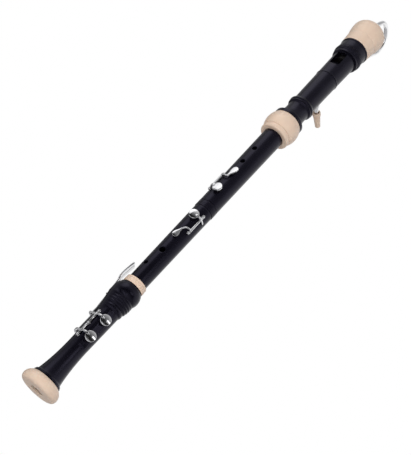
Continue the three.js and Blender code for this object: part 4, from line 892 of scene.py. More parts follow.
def hinge_tube(key, low, high):
    inset_by = post.ball_radius + FIT
    bottom, top = low + inset_by, high - inset_by
    inner, outer = hinge.rod_radius + FIT / 2, hinge.tube_radius
    outline = [Vector((inner, bottom)), Vector((outer, bottom)), Vector((outer, top)), Vector((inner, top))]
    return moved(turned(spaced(eased(outline, rounding.tube), spacing.tube), SMALL_SIDES),
                 Matrix.Translation(around(key.radius, key.angle)))


def pad_face(surface):
    return surface + seat.rise + FIT


def pad_cup():
    """A domed cup over a pad, open below."""
    inner = cup.radius - cup.rim
    ceiling = pad.thickness + FIT
    outline = Outline(0, ceiling).line(inner, ceiling).line(inner, cup.skirt).line(cup.radius, cup.skirt)
    outline.line(cup.radius, cup.edge_height - cup_edge.height)
    outline.curve(cup.radius, cup.edge_height, cup.radius - cup_edge.shoulder,
                  cup.edge_height + cup_edge.lift, 6)
    outline.curve(cup.radius / 2, cup.crown_height, 0, cup.crown_height)
    return turned(eased(outline.points, rounding.cup, closed=False), 64)


def cup_at(hole, surface):
    return moved(pad_cup(), facing(hole.angle, pad_face(surface), hole.height))


def cup_crown(surface):
    return pad_face(surface) + (cup.edge_height + cup.crown_height) / 2


def arm_line(key, hole, surface):
    """The line of an arm from the hinge over the body to the middle of a cup."""
    side = math.copysign(1, hole.angle - key.angle)
    crown = cup_crown(surface)
    edge_angle = math.degrees(math.atan2(cup.radius, crown))
    edge = math.hypot(cup.radius, crown)
    return [
        around(key.radius, key.angle, hole.height),
        around((key.radius + edge) / 2 + arm.thickness / 2, (key.angle + hole.angle - side * edge_angle) / 2,
               hole.height),
        around(edge, hole.angle - side * edge_angle, hole.height),
        around(crown + fine.arm_lift, hole.angle - side * edge_angle / 3, hole.height),
    ]


UP = Vector((0, 0, 1))


def arm_section(share):
    """An arm narrows towards the cup and thins out on its crown."""
    width = lerp(arm.width * 1.15, arm.width, share)
    thick = arm.thickness * min(1, (1.02 - share) * 5) if share > 0.8 else arm.thickness
    return bar_section(thick, width, rounding.arm)


def cup_arm(key, hole, surface):
    return swept(smooth_line(arm_line(key, hole, surface), 8), arm_section, UP)


def teardrop(key, under):
    """A plate with a narrow stem and a round end, its top domed and its edge rounded."""
    stem_angle, stem_height = key.stem
    end_angle, end_height = key.end
    radius = key.touch_radius
    middle = (stem_angle + end_angle) / 2
    run = Vector((under * (math.tan(math.radians(end_angle - middle))
                           - math.tan(math.radians(stem_angle - middle))),
                  end_height - stem_height))
    length = run.length
    half = touch.stem_half_width
    outer, spine = [], []
    steps = 18
    for step in range(steps):
        t = step / steps
        across = ((1 - t) ** 3 * half + 3 * (1 - t) ** 2 * t * half
                  + 3 * (1 - t) * t ** 2 * radius + t ** 3 * radius)
        up = 3 * (1 - t) ** 2 * t * length / 2 + 3 * (1 - t) * t ** 2 * length / 2 + t ** 3 * length
        outer.append(Vector((-across, up)))
        spine.append(Vector((0, max(up, half / 2))))
    for step in range(2 * steps + 1):
        turn = math.pi * (1 - step / (2 * steps))
        outer.append(Vector((radius * math.cos(turn), length + radius * math.sin(turn))))
        spine.append(Vector((0, length)))
    mirrored = [(Vector((-a.x, a.y)), b) for a, b in list(zip(outer, spine))[steps - 1::-1]]
    outer += [a for a, _ in mirrored]
    spine += [b for _, b in mirrored]
    thick = touch.thickness
    levels = ((0.985, 0), (0.12, 0), (0.03, 0.12), (0, 0.4), (0.015, 0.68), (0.06, 0.86), (0.16, 0.96),
              (0.4, 1.06), (0.7, 1.13), (0.985, 1.15))
    mesh = bmesh.new()
    rings = [[lerp(a, b, share).to_3d() + UP * under + UP * thick * rise for a, b in zip(outer, spine)]
             for share, rise in levels]
    shape = capped(mesh, rings)
    shape = shifted(rotated(shape, -math.degrees(math.atan2(run.x, run.y)), "Z"), -run.x / 2, -run.y / 2)
    return moved(shape, facing(middle, 0, (stem_height + end_height) / 2))


def wrist(key, under):
    """The bent wire between the hinge tube and the touch; it thins towards the touch."""
    stem_angle, stem_height = key.stem
    side = math.copysign(1, stem_angle - key.angle)
    lifted = key.radius + key.wrist_lift
    points = [
        around(key.radius, key.angle, key.wrist_height),
        around(lifted, key.angle + side * key.wrist_angle, key.wrist_height),
        around(lifted, stem_angle - side * key.wrist_angle, (2 * key.wrist_height + stem_height) / 3),
        around(under + touch.thickness / 2 + FIT, stem_angle, stem_height),
    ]
    return swept(smooth_line(points, 10),
                 lambda share: round_section(arm.wire_radius * (1.05 - 0.15 * share), 24))


def swung(mesh, key, degrees):
    """A mesh drawn with its key closed, turned about the hinge line to where the key stands open."""
    place = Matrix.Translation(around(key.radius, key.angle))
    return moved(mesh, place @ Matrix.Rotation(math.radians(degrees), 4, "Z") @ place.inverted())


def key_pad(name, hole, surface, key, degrees, body, base):
    """A felt pad in a thin skin, slightly pillowed, with the ring that its seat has pressed into it."""
    radius = cup.radius - cup.rim - FIT
    outline = Outline(0, skin.middle).line(hole.radius - skin.margin, skin.dent)
    outline.line(hole.radius + skin.past_hole, skin.rise).line(seat.radius - skin.margin, skin.rise)
    outline.line(seat.radius + skin.over_seat, skin.over_seat)
    outline.curve(radius, 0, radius, pad.thickness / 2, 8)
    outline.curve(radius, pad.thickness, radius - skin.edge, pad.thickness, 8)
    outline.line(0, pad.thickness)
    disc = turned(eased(outline.points, rounding.pad, closed=False), 64)
    for vertex in disc.verts:
        spread = Vector((vertex.co.x, vertex.co.y, 0)) * 0.9
        if vertex.co.z < pad.thickness / 2:
            vertex.co.z += 0.06 * noise.noise(spread)
    mesh = swung(moved(disc, facing(hole.angle, pad_face(surface), hole.height)), key, degrees)
    piece = finished(name + "_shape", shifted(mesh, z=base), body, [name], SKIN)


def body_key(name, key, hole, radius_at, degrees, body, base, extra=()):
    """A key of one of the body sections: its tube, arm and cup, and its touch on a curved wrist."""
    surface = radius_at(hole.height)
    under = radius_at(key.end[1]) + touch.clearance
    shape = joined([
        hinge_tube(key, key.post_low, key.post_high),
        cup_at(hole, surface),
        cup_arm(key, hole, surface),
        wrist(key, under),
        teardrop(key, under),
        *extra,
    ])
    place = around(key.radius, key.angle)
    bore = moved(rod(hinge.rod_radius + FIT / 2, key.post_low, key.post_high, 0), Matrix.Translation(place))
    mesh = shifted(swung(cut(shape, [bore]), key, degrees), z=base)
    finished(name + "_shape", mesh, body, [name], PLATING)


def stop_tail(key, hole, surface):
    """The arm of the index finger key runs on over its hinge and ends in a tail that rests on the body."""
    crown = cup_crown(surface)
    edge_angle = math.degrees(math.atan2(cup.radius, crown))
    over = key.radius + hinge.tube_radius + arm.thickness / 2 - FIT
    points = [
        around(math.hypot(cup.radius, crown), hole.angle + edge_angle, hole.height),
        around(over, key.angle, hole.height),
        around(key.tail_radius, key.angle + key.tail_angle, hole.height),
    ]
    return swept(smooth_line(points, 10), lambda share: bar_section(arm.thickness, arm.width, rounding.arm),
                 UP)


def lever_plane(across, out, height):
    return facing(levers.angle, 0, 0) @ Vector((across, height, out))


def foot_key_tail(offset, hole):
    """A tail lies close round the foot, bends over the lever and ends in a round edge on its face."""
    apart = math.radians(foot_keys.angle - levers.angle)
    hinge_across = foot_keys.radius * math.sin(apart)
    hinge_out = foot_keys.radius * math.cos(apart)
    face = levers.end_radius + levers.bar_thickness / 2
    rise = face + FIT + arm.thickness / 2 - hinge_out
    turn = math.radians(foot_keys.open)
    out = hinge_out + (rise + (hinge_across - offset) * math.sin(turn)) / math.cos(turn)
    hinge_line = around(foot_keys.radius, foot_keys.angle, hole.height)
    side = around(foot_keys.tail_radius, foot_keys.angle - foot_keys.tail_angle, hole.height)
    shoulder = offset + levers.bar_width / 2 + foot_keys.tail_overlap
    points = [
        hinge_line,
        hinge_line + Matrix.Rotation(turn, 3, "Z") @ (side - hinge_line),
        lever_plane(shoulder, out - foot_keys.tail_drop, hole.height),
        lever_plane(offset, out, hole.height),
    ]
    tail = swept(smooth_line(points, 8), lambda share: bar_section(arm.thickness, arm.width, rounding.tail),
                 UP)
    nub = shifted(rod(arm.thickness / 2, -arm.width / 2, arm.width / 2, rounding.nub, 24), z=hole.height)
    end = lever_plane(offset, out, 0)
    return [tail, shifted(nub, end.x, end.y)]


def foot_key(name, hole, low, high, offset, body):
    surface = foot_keys.flat_radius
    shape = joined([
        hinge_tube(foot_keys, low, high),
        cup_at(hole, surface),
        cup_arm(foot_keys, hole, surface),
        *foot_key_tail(offset, hole),
    ])
    place = around(foot_keys.radius, foot_keys.angle)
    bore = moved(rod(hinge.rod_radius + FIT / 2, low, high, 0), Matrix.Translation(place))
    mesh = shifted(swung(cut(shape, [bore]), foot_keys, -foot_keys.open), z=FOOT_TOP)
    finished(name + "_shape", mesh, body, [name], PLATING)


# Levers of the foot keys, drawn from the side: out from the axis and up


def lever_hub(radius, length, ease=0.3):
    hub = rotated(rod(radius, -length / 2, length / 2, ease), 90, "Y")
    return shifted(hub, 0, levers.pivot_height, levers.pivot_radius)


def lever_bar(end):
    line = [Vector((0, end, levers.end_radius)), Vector((0, levers.knee_height, levers.end_radius)),
            Vector((0, levers.pivot_height, levers.pivot_radius)),
            Vector((0, levers.crest_height + OVERRUN, levers.crest_radius))]
    across = Vector((1, 0, 0))

    def section(share):
        """The bar's lower end is rounded off."""
        reach = share * (line[-1] - line[0]).length
        width = levers.bar_width
        if reach < width / 2:
            width *= math.sqrt(max(1 - (1 - 2 * reach / width) ** 2, 0.08))
        return bar_section(levers.bar_thickness, width, rounding.bar)

    bent = eased(line, fine.lever_bend, closed=False, steps=8, sharpest=179)
    return swept(spaced(bent, spacing.lever, closed=False), section, across)


def touch_plate(aside):
    """A broad touch for the little finger: it widens from its bar, bends over the ring and ends round."""
    bend = levers.crest_height - levers.bar_thickness
    swell = levers.crest_radius + levers.bar_thickness
    curve = Outline(levers.crest_radius, bend).curve(swell, levers.touch_middle, levers.tip_radius,
                                                     levers.tip_height, 60)
    line = [Vector((0, point.y, point.x)) for point in curve.points]
    length = levers.tip_height - bend
    half = levers.touch_width / 2
    corner = 3.4
    shoulder = 7

    def section(share):
        reach = share * length
        width = half
        if reach < shoulder:
            swing = 0.5 - 0.5 * math.cos(math.pi * reach / shoulder)
            width = lerp(levers.bar_width / 2, half, swing)
        shift = aside * min(reach / shoulder, 1)
        left = length - reach
        if left < corner:
            width = half - corner + corner * math.sqrt(max(1 - (1 - left / corner) ** 2, 0.002))
        thick = levers.bar_thickness * (1 if left > 1 else lerp(0.55, 1, left))
        return [(u, v + shift) for u, v in bar_section(thick, 2 * width, rounding.touch)]

    return swept(line, section, Vector((1, 0, 0)))


def lever(name, end, offset, body):
    aside = math.copysign(1, offset) * ((levers.touch_width + levers.touch_gap) / 2 - levers.spacing)
    shape = joined([lever_bar(end), touch_plate(aside), lever_hub(levers.hub_radius, levers.hub_length)])
    bored = cut(shape, [lever_hub(levers.pin_radius + FIT / 2, levers.hub_length + OVERRUN, 0)])
    mesh = moved(shifted(bored, offset), facing(levers.angle, 0, FOOT_TOP))
    finished(name + "_shape", mesh, body, [name], PLATING)


def lever_bracket():
    base = levers.flat_radius + FIT
    cheek_across = 2 * levers.spacing
    width = 2 * cheek_across + levers.cheek_thickness
    half = levers.plate_length / 2
    corners = [Vector((x * width / 2, y * half)) for x, y in ((-1, -1), (1, -1), (1, 1), (-1, 1))]
    section = eased(corners, rounding.bracket, steps=6)
    levels = ((0.1, base), (0, base + 0.1), (0, base + levers.plate_thickness - 0.2),
              (0.2, base + levers.plate_thickness))
    rings = [[Vector((p.x, p.y + levers.pivot_height, out)) for p in inset(section, by)]
             for by, out in levels]
    parts = [capped(bmesh.new(), rings)]
    radius = levers.cheek_radius
    for across in (-cheek_across, 0, cheek_across):
        outline = [Vector((base + FIT, levers.pivot_height - radius))]
        for step in range(17):
            turn = math.pi * (step / 16 - 0.5)
            outline.append(Vector((levers.pivot_radius + radius * math.cos(turn),
                                   levers.pivot_height + radius * math.sin(turn))))
        outline.append(Vector((base + FIT, levers.pivot_height + radius)))
        parts.append(shifted(extruded(outline, levers.cheek_thickness, rounding.cheek, 2), across))
    shape = joined(parts)
    holes = [shifted(rod(levers.screw_head_radius + FIT, base - OVERRUN, base + OVERRUN, 0), across, height)
             for _, across, height in LEVER_SCREWS]
    shape = cut(shape, [*holes, lever_hub(levers.pin_radius + FIT / 2, width + OVERRUN, 0)])
    shape = moved(shape, facing(levers.angle, 0, FOOT_TOP))
    finished("lever_bracket_shape", shape, "foot", ["lever_bracket"],
             PLATING)


def lever_pin():
    length = 4 * levers.spacing + 2 * levers.cheek_thickness
    pin = moved(lever_hub(levers.pin_radius, length, rounding.pin), facing(levers.angle, 0, FOOT_TOP))
    finished("lever_pin_shape", pin, "foot", ["lever_pin"], PLATING)


def lever_screw(name, across, height):
    base = levers.flat_radius + FIT
    top = base + levers.plate_thickness
    head_radius, shank = levers.screw_head_radius, levers.screw_shank_radius
    outline = [Vector((0, foot.socket_radius + FIT)), Vector((shank, foot.socket_radius + FIT)),
               Vector((shank, base)), Vector((head_radius, base)),
               Vector((head_radius, top - fine.screw_crown)), Vector((0, top))]
    screw = slotted(turned(eased(outline, rounding.screw, closed=False), SMALL_SIDES),
                    head_radius, top)
    mesh = moved(shifted(screw, across, height), facing(levers.angle, 0, FOOT_TOP))
    finished(name + "_shape", mesh, "foot", [name], PLATING)


# Lower body, measured up from its shoulder on the foot


def tenon_to(outline, radius, thickness, low, high, inset_by):
    recess = radius - thickness - FIT
    way = math.copysign(1, high - low)
    for height, width in ((low, radius), (low + way * (inset_by - FIT), radius),
                          (low + way * (inset_by - FIT), recess),
                          (high - way * (inset_by - FIT), recess), (high - way * (inset_by - FIT), radius),
                          (high, radius)):
        outline.line(width, height)


def lower_body():
    band_foot = lower.length - lower.band_length
    groove = lower.band_groove
    outline = Outline(lower.low_bore_radius, -lower.tenon_length)
    tenon_to(outline, lower.tenon_radius, lower.cork_thickness, -lower.tenon_length, 0, lower.cork_inset)
    outline.line(lower.low_radius, 0)
    outline.line(lower.high_radius, band_foot - groove)
    outline.line(lower.high_radius - groove / 2, band_foot)
    outline.line(lower.band_radius, band_foot + groove)
    for share in (0.2, 0.42):
        outline.groove(lower.band_radius, band_foot + lower.band_length * share,
                       fine.band_line_width, fine.band_line_depth)
    outline.line(lower.band_radius, lower.length - 3 * groove)
    outline.line(lower.band_radius - groove, lower.length - 2 * groove)
    outline.line(lower.band_radius, lower.length - groove)
    outline.line(lower.band_radius - groove / 2, lower.length)
    outline.line(upper.low_tenon_radius + FIT, lower.length)
    outline.line(upper.low_tenon_radius + FIT, lower.length - lower.socket_depth)
    outline.line(lower.high_bore_radius, lower.length - lower.socket_depth)
    surface = lower_radius(hole4.height)
    tube = turned(spaced(eased(outline.points, rounding.body), spacing.body))
    body = joined([tube, seat_ring(hole4, surface)])
    body = cut(body, [
        hole_cutter(hole4, surface + seat.rise, flat=True, lip=rounding.hole_lip),
        hole_cutter(hole5, lower_radius(hole5.height)),
        hole_cutter(hole6, lower_radius(hole6.height)),
        post_hole(hole4_key, hole4_key.post_low, lower_radius(hole4_key.post_low)),
        post_hole(hole4_key, hole4_key.post_high, lower_radius(hole4_key.post_high)),
        back_hole(thumb_rest.height, thumb_rest.screw_shank_radius, thumb_rest.screw_depth),
        back_hole(STRAP_HEIGHT, strap.stub_radius, strap.stub_length),
    ])
    finished("lower_body_shape", shifted(body, z=LOWER_BASE), "lower", ["lower_body"], BLACK)


RING_BOTTOM = thumb_rest.height + thumb_rest.length / 2 + strap.ring_clearance
STRAP_HEIGHT = RING_BOTTOM + strap.wire_radius + 2 * strap.ring_radius


def back_hole(height, radius, depth):
    surface = lower_radius(height)
    return stub_hole(radius + FIT, BACK_ANGLE, height, surface - depth - FIT, surface + OVERRUN)


REST_CORNER = 0.8
# Less than the tight corner under the tip, so that the inset outline doesn't cross itself
REST_EDGE = 0.3


def thumb_rest_piece():
    surface = lower_radius(thumb_rest.height)
    low = thumb_rest.height - thumb_rest.length / 2
    top = thumb_rest.height + thumb_rest.length / 2
    face = surface + thumb_rest.thickness
    tip = face + thumb_rest.ledge
    ledge = thumb_rest.ledge_thickness
    outline = Outline(surface - OVERRUN, low).line(face, low)
    outline.curve(face, top - ledge, tip, top - ledge, 20)
    outline.curve(tip + ledge / 2, top, tip - ledge, top, 8)
    outline.line(surface - OVERRUN, top)
    hook = extruded(eased(outline.points, REST_CORNER), thumb_rest.width, REST_EDGE, 4)
    body = rotated(rod(surface + FIT, low - OVERRUN, top + OVERRUN, 0, SIDES), -90, "X")
    head_hole = rod(thumb_rest.screw_head_radius + FIT, surface + thumb_rest.thickness / 2, tip + OVERRUN, 0)
    shank_hole = rod(thumb_rest.screw_shank_radius + FIT, 0, tip + OVERRUN, 0)
    holes = [shifted(hole, y=thumb_rest.height) for hole in (head_hole, shank_hole)]
    rest = moved(cut(hook, [body, *holes]), facing(BACK_ANGLE, 0, LOWER_BASE))
    finished("thumb_rest_shape", rest, "lower", ["thumb_rest"], BLACK)


def thumb_rest_screw():
    surface = lower_radius(thumb_rest.height)
    low = surface + thumb_rest.thickness / 2 + FIT
    top = surface + thumb_rest.thickness
    shank, wide = thumb_rest.screw_shank_radius, thumb_rest.screw_head_radius
    outline = Outline(0, surface - thumb_rest.screw_depth).line(shank, surface - thumb_rest.screw_depth)
    outline.line(shank, low).line(wide, low).line(wide, low + fine.rest_screw_rim)
    outline.curve(wide * 0.8, top, 0, top, 8)
    screw = slotted(turned(eased(outline.points, rounding.rest_screw, closed=False), SMALL_SIDES),
                    wide, top, driver_slot.rest, driver_slot.rest)
    mesh = moved(screw, facing(BACK_ANGLE, 0, LOWER_BASE + thumb_rest.height))
    finished("thumb_rest_screw_shape", mesh, "lower", ["thumb_rest_screw"], PLATING)


def strap_lug_out():
    return lower_radius(STRAP_HEIGHT) + FIT + strap.lug_reach


def strap_eye():
    base = lower_radius(STRAP_HEIGHT) + FIT
    centre = strap_lug_out()
    radius = strap.lug_radius
    outline = [Vector((base + FIT, -radius * 1.15))]
    for step in range(21):
        turn = math.pi * (step / 20 - 0.5)
        outline.append(Vector((centre + radius * math.cos(turn), radius * math.sin(turn))))
    outline.append(Vector((base + FIT, radius * 1.15)))
    lug = extruded(outline, strap.lug_thickness, rounding.lug, 3)
    disc = Outline(0, base - FIT - strap.stub_length).line(strap.stub_radius, base - FIT - strap.stub_length)
    disc.line(strap.stub_radius, base).line(strap.base_radius, base)
    disc.line(strap.base_radius, base + fine.strap_rim)
    disc.curve(strap.base_radius * 0.9, base + strap.base_thickness, 0, base + strap.base_thickness, 10)
    flange = turned(eased(disc.points, rounding.flange, closed=False), SMALL_SIDES)
    hole = shifted(rotated(rod(strap.hole_radius, -OVERRUN, OVERRUN, 0), 90, "Y"), z=centre)
    shape = cut(joined([flange, lug]), [hole])
    mesh = moved(shape, facing(BACK_ANGLE, 0, LOWER_BASE + STRAP_HEIGHT))
    finished("strap_eye_shape", mesh, "lower", ["strap_eye"], PLATING)


def strap_ring():
    mesh = bmesh.new()
    rings = []
    for step in range(72):
        turn = 2 * math.pi * step / 72
        centre = Vector((math.cos(turn), math.sin(turn), 0))
        ring = [centre * (strap.ring_radius + u) + UP * v for u, v in round_section(strap.wire_radius, 20)]
        rings.append([mesh.verts.new(point) for point in ring])
    bridged(mesh, rings, closed=True)
    bmesh.ops.recalc_face_normals(mesh, faces=mesh.faces)
    mesh = moved(shifted(mesh, y=-strap.ring_radius),
                 facing(BACK_ANGLE, strap_lug_out(), LOWER_BASE + STRAP_HEIGHT))
    finished("strap_ring_shape", mesh, "strap_loop", ["strap_ring"], PLATING)


# Upper body, measured up from its shoulder on the lower body


def upper_body():
    thick = upper.cork_thickness
    top = upper.length + upper.high_tenon_length
    outline = Outline(lower.high_bore_radius, -upper.low_tenon_length)
    tenon_to(outline, upper.low_tenon_radius, thick, -upper.low_tenon_length, 0, upper.cork_inset)
    outline.line(upper.low_radius, 0)
    outline.line(upper.high_radius, upper.length)
    tenon_to(outline, upper.high_tenon_radius, thick, upper.length, top, upper.cork_inset)
    outline.line(upper.high_bore_radius, top)
    surface = upper_radius(hole3.height)
    tube = turned(spaced(eased(outline.points, rounding.body), spacing.body))
    body = joined([tube, seat_ring(hole3, surface)])
    body = cut(body, [
        *(hole_cutter(hole, upper_radius(hole.height)) for hole in (hole1, hole2, thumb_hole)),
        hole_cutter(hole3, surface + seat.rise, flat=True, lip=rounding.hole_lip),
        post_hole(hole3_key, hole3_key.post_low, upper_radius(hole3_key.post_low)),
        post_hole(hole3_key, hole3_key.post_high, upper_radius(hole3_key.post_high)),
    ])
    finished("upper_body_shape", shifted(body, z=UPPER_BASE), "upper", ["upper_body"], BLACK)


# Head, measured up from the lower face of its ivory ring

RING_INNER = head.ring_band_radius - head.ring_wall
RIDGES = 4
RIDGE_DEPTH = 0.7
# The smooth band over the ridges, and the lip at its top
RIDGED_LENGTH = 12
BAND_RADIUS = 27.6
LIP_LENGTH = 3.5
# Less than the crown of the solid, so that the pipe clears the ridges when the cap is pulled out
RIDGE_RADIUS = 28.7
RING_ROUNDING = 3
HEAD_SOCKET_FLOOR = upper.high_tenon_length + FIT
HEAD_TOP = head.length + head.tenon_length
BAND_HEIGHT = head.length - head.band_depth
RINGS_HEIGHT = head.length - head.rings_depth
MOUTH_EDGE = head.length - mouth.edge_depth
MOUTH_TOP = head.length - mouth.top_depth
BLOCK_HEIGHT = head.length - mouth.block_depth


def head_outline():
    socket = upper.high_tenon_radius + FIT
    outline = Outline(head.bore_radius, HEAD_TOP).line(head.bore_radius, HEAD_SOCKET_FLOOR)
    outline.line(socket, HEAD_SOCKET_FLOOR).line(socket, head.ring_lip + FIT)
    outline.line(RING_INNER - FIT, head.ring_lip + FIT).line(RING_INNER - FIT, head.ring_length + FIT)
    outline.line(head.flange_radius, head.ring_length + FIT)
    flange_top = head.ring_length + head.flange_length
    outline.line(head.flange_radius, flange_top)
    outline.line(head.flange_radius - head.flange_slope, flange_top + head.flange_slope / 2)
    outline.curve(head.neck_radius, flange_top + head.flange_slope, head.neck_radius, head.neck_height)
    bead_foot = head.neck_height + head.bead_gap
    bead_top = bead_foot + head.bead_length
    bead_middle = bead_foot + head.bead_length * 0.42
    outline.line(head.bead_base, bead_foot)
    outline.bulge(head.bead_radius - fine.bead_line, bead_middle,
                  head.bead_radius - fine.bead_drop, (bead_foot + bead_middle) / 2, 8)
    outline.bulge(head.bead_base, bead_top, head.bead_radius, bead_middle + head.bead_length * 0.24)
    outline.line(head_tube_radius(BAND_HEIGHT), BAND_HEIGHT)
    band_top = BAND_HEIGHT + head.band_length
    outline.bulge(head_tube_radius(band_top), band_top, head.band_radius, (BAND_HEIGHT + band_top) / 2, 8)
    outline.line(head.tube_radius, RINGS_HEIGHT)
    step_top = RINGS_HEIGHT + head.step_length
    outline.line(head.step_radius, RINGS_HEIGHT + FIT)
    outline.groove(head.step_radius, RINGS_HEIGHT + head.step_length / 2,
                   fine.step_line_width, fine.step_line_depth)
    outline.line(head.step_radius, step_top)
    outline.line(head.step_radius + FIT, step_top)
    for ridge in range(RIDGES):
        low, high = (step_top + RIDGED_LENGTH * share / RIDGES for share in (ridge, ridge + 1))
        crown = [BAND_RADIUS + (RIDGE_RADIUS - BAND_RADIUS) * math.sin(math.pi * share / RIDGES)
                 for share in (ridge + 0.5, ridge + 1)]
        outline.bulge(crown[1] - RIDGE_DEPTH if ridge < RIDGES - 1 else BAND_RADIUS - FIT, high,
                      crown[0], (low + high) / 2, 8)
    lip_foot = head.length - LIP_LENGTH
    outline.line(BAND_RADIUS, step_top + RIDGED_LENGTH + FIT)
    outline.line(BAND_RADIUS, lip_foot)
    outline.line(head.top_radius, lip_foot + head.ring_groove)
    outline.line(head.top_radius, head.length)
    tenon_to(outline, head.tenon_radius, head.cork_thickness, head.length, HEAD_TOP, head.cork_inset)
    return spaced(eased(outline.points, rounding.head), spacing.body)


def across_block(points, width):
    """A sharp-edged block of (out, height) points across the front."""
    rings = [[Vector((side * width / 2, point.y, point.x)) for point in points] for side in (-1, 1)]
    return moved(capped(bmesh.new(), rings), facing(0, 0, 0))


def window_cutter():
    """The ramp up to the edge, then the opening."""
    outer = head_tube_radius(MOUTH_EDGE)
    edge = head.bore_radius + mouth.edge_thickness
    reach = head.step_radius + OVERRUN
    slope = mouth.ramp_length / (outer - edge)
    outline = Outline(0, MOUTH_EDGE).line(edge, MOUTH_EDGE)
    outline.line(reach, MOUTH_EDGE - slope * (reach - edge)).line(reach, MOUTH_TOP).line(0, MOUTH_TOP)
    return across_block(outline.points, mouth.width)


def windway_cutter():
    low, high = MOUTH_TOP - OVERRUN, HEAD_TOP + OVERRUN
    inner, outer = head.bore_radius - FIT - OVERRUN, head.bore_radius + mouth.windway_depth
    outline = Outline(inner, low).line(outer, low).line(outer, high).line(inner, high)
    return across_block(outline.points, mouth.windway_width)


def head_joint():
    body = cut(turned(head_outline()), [window_cutter(), windway_cutter()])
    finished("head_joint_shape", shifted(body, z=HEAD_BASE), "head", ["head_joint"], BLACK)


def head_socket_ring():
    lip = upper.high_tenon_radius + FIT
    groove_top = head.ring_band_length + head.ring_groove
    groove = head.ring_band_radius - head.ring_groove
    outline = Outline(lip, 0).line(head.ring_band_radius - RING_ROUNDING, 0)
    outline.curve(head.ring_band_radius, 0, head.ring_band_radius, RING_ROUNDING, 8)
    outline.line(head.ring_band_radius, head.ring_band_length)
    outline.line(groove, head.ring_band_length + head.ring_groove / 2)
    outline.line(head.ring_band_radius + head.ring_groove, groove_top)
    middle = (groove_top + head.ring_length) / 2
    outline.bulge(head.ring_band_radius, head.ring_length, head.ring_radius, middle, 2 * CURVE_STEPS)
    outline.line(RING_INNER, head.ring_length).line(RING_INNER, head.ring_lip).line(lip, head.ring_lip)
    mesh = shifted(turned(eased(outline.points, rounding.head_ring)), z=HEAD_BASE)
    finished("head_socket_ring_shape", mesh, "head", ["head_socket_ring"], IVORY)


def block():
    plug = rod(head.bore_radius - FIT, BLOCK_HEIGHT, HEAD_TOP - FIT, rounding.block, SIDES)
    finished("block_shape", shifted(plug, z=HEAD_BASE), "head", ["block"], BLOCK)


# Cap and bocal socket, measured up from the cap's lower edge

SOCKET_INNER = bocal.radius + FIT + bocal.cork_thickness + FIT
SOCKET_OUTER = SOCKET_INNER + bocal.socket_wall


def head_cap():
    hole = SOCKET_OUTER + FIT
    socket = head.tenon_radius + FIT
    rise = (cap.length - cap.widest_height) / math.sqrt(1 - (cap.flat_radius / cap.radius) ** 2)
    chamber = cap.radius - cap.wall
    depth = cap.groove_depth
    outline = Outline(socket, 0).line(cap.collar_radius - depth, 0).line(cap.collar_radius, depth)
    outline.line(cap.groove_radius, cap.groove_height - depth)
    outline.line(cap.groove_radius - depth, cap.groove_height)
    outline.line(cap.groove_radius, cap.groove_height + depth)
    shoulder = (cap.groove_height + cap.widest_height) / 2
    outline.curve(cap.radius, shoulder, cap.radius, cap.widest_height)
    outline.ellipse(cap.widest_height, cap.radius, rise, 0, math.acos(cap.flat_radius / cap.radius))
    outline.line(hole, cap.length)
    outline.ellipse(cap.widest_height, chamber, rise - cap.wall, math.acos(hole / chamber), 0)
    outline.line(socket, head.tenon_length + cap.wall)
    mesh = shifted(turned(eased(outline.points, rounding.cap)), z=CAP_BASE)
    finished("head_cap_shape", mesh, "cap", ["head_cap"], IVORY)


def bocal_socket():
    base = cap.length + FIT
    top = base + bocal.socket_flange_length
    low = base - bocal.socket_length
    outline = Outline(SOCKET_INNER, low).line(SOCKET_OUTER, low).line(SOCKET_OUTER, base)
    outline.line(bocal.socket_flange_radius, base)
    outline.line(bocal.socket_flange_radius, top - bocal.socket_flange_length / 2)
    outline.line(SOCKET_OUTER, top).line(SOCKET_INNER, top)
    mesh = shifted(turned(eased(outline.points, rounding.ferrule), 64), z=CAP_BASE)
    finished("bocal_socket_shape", mesh, "cap", ["bocal_socket"], PLATING)


def arc_points(centre_out, centre_height, radius, start, end, steps=4):
    points = []
    for step in range(steps + 1):
        turn = math.radians(lerp(start, end, step / steps))
        points.append((0, centre_out + radius * math.cos(turn), centre_height + radius * math.sin(turn)))
    return points


def bocal_route():
    start = cap.length - bocal.cork_length
    bend_centre = bocal.bend_height + bocal.bend_radius
    return [
        (0, 0, start),
        (0, 0, (start + bocal.rise_height) / 2),
        *arc_points(bocal.turn_radius, bocal.rise_height, bocal.turn_radius, 180, 0),
        (0, bocal.shoulder_offset, bocal.shoulder_height),
        (0, bocal.crown_offset, bocal.crown_height),
        (0, (bocal.crown_offset + bocal.low_offset) / 2, (bocal.crown_height + bocal.bend_height) / 2),
        *arc_points(bocal.low_offset + bocal.bend_radius, bend_centre, bocal.bend_radius, 180, 270),
        (0, bocal.reach, bocal.bend_height),
    ]


def bocal_tube():
    """The pipe as a closed wall: up its outside, over its end and down its inside."""
    line = smooth_line(bocal_route(), 14)
    mesh = bmesh.new()
    outer, inner = [], []
    for index, place in enumerate(line):
        along = (line[min(index + 1, len(line) - 1)] - line[max(index - 1, 0)]).normalized()
        side = Vector((1, 0, 0))
        normal = side.cross(along)
        for radius, rings in ((bocal.radius, outer), (bocal.radius - bocal.wall, inner)):
            ring = [place + normal * u + side * v for u, v in round_section(radius, SMALL_SIDES)]
            rings.append([mesh.verts.new(point) for point in ring])
    bridged(mesh, outer + inner[::-1], closed=True)
    bmesh.ops.recalc_face_normals(mesh, faces=mesh.faces)
    finished("bocal_tube_shape", shifted(mesh, z=CAP_BASE), "bocal", ["bocal_tube"], PIPE)


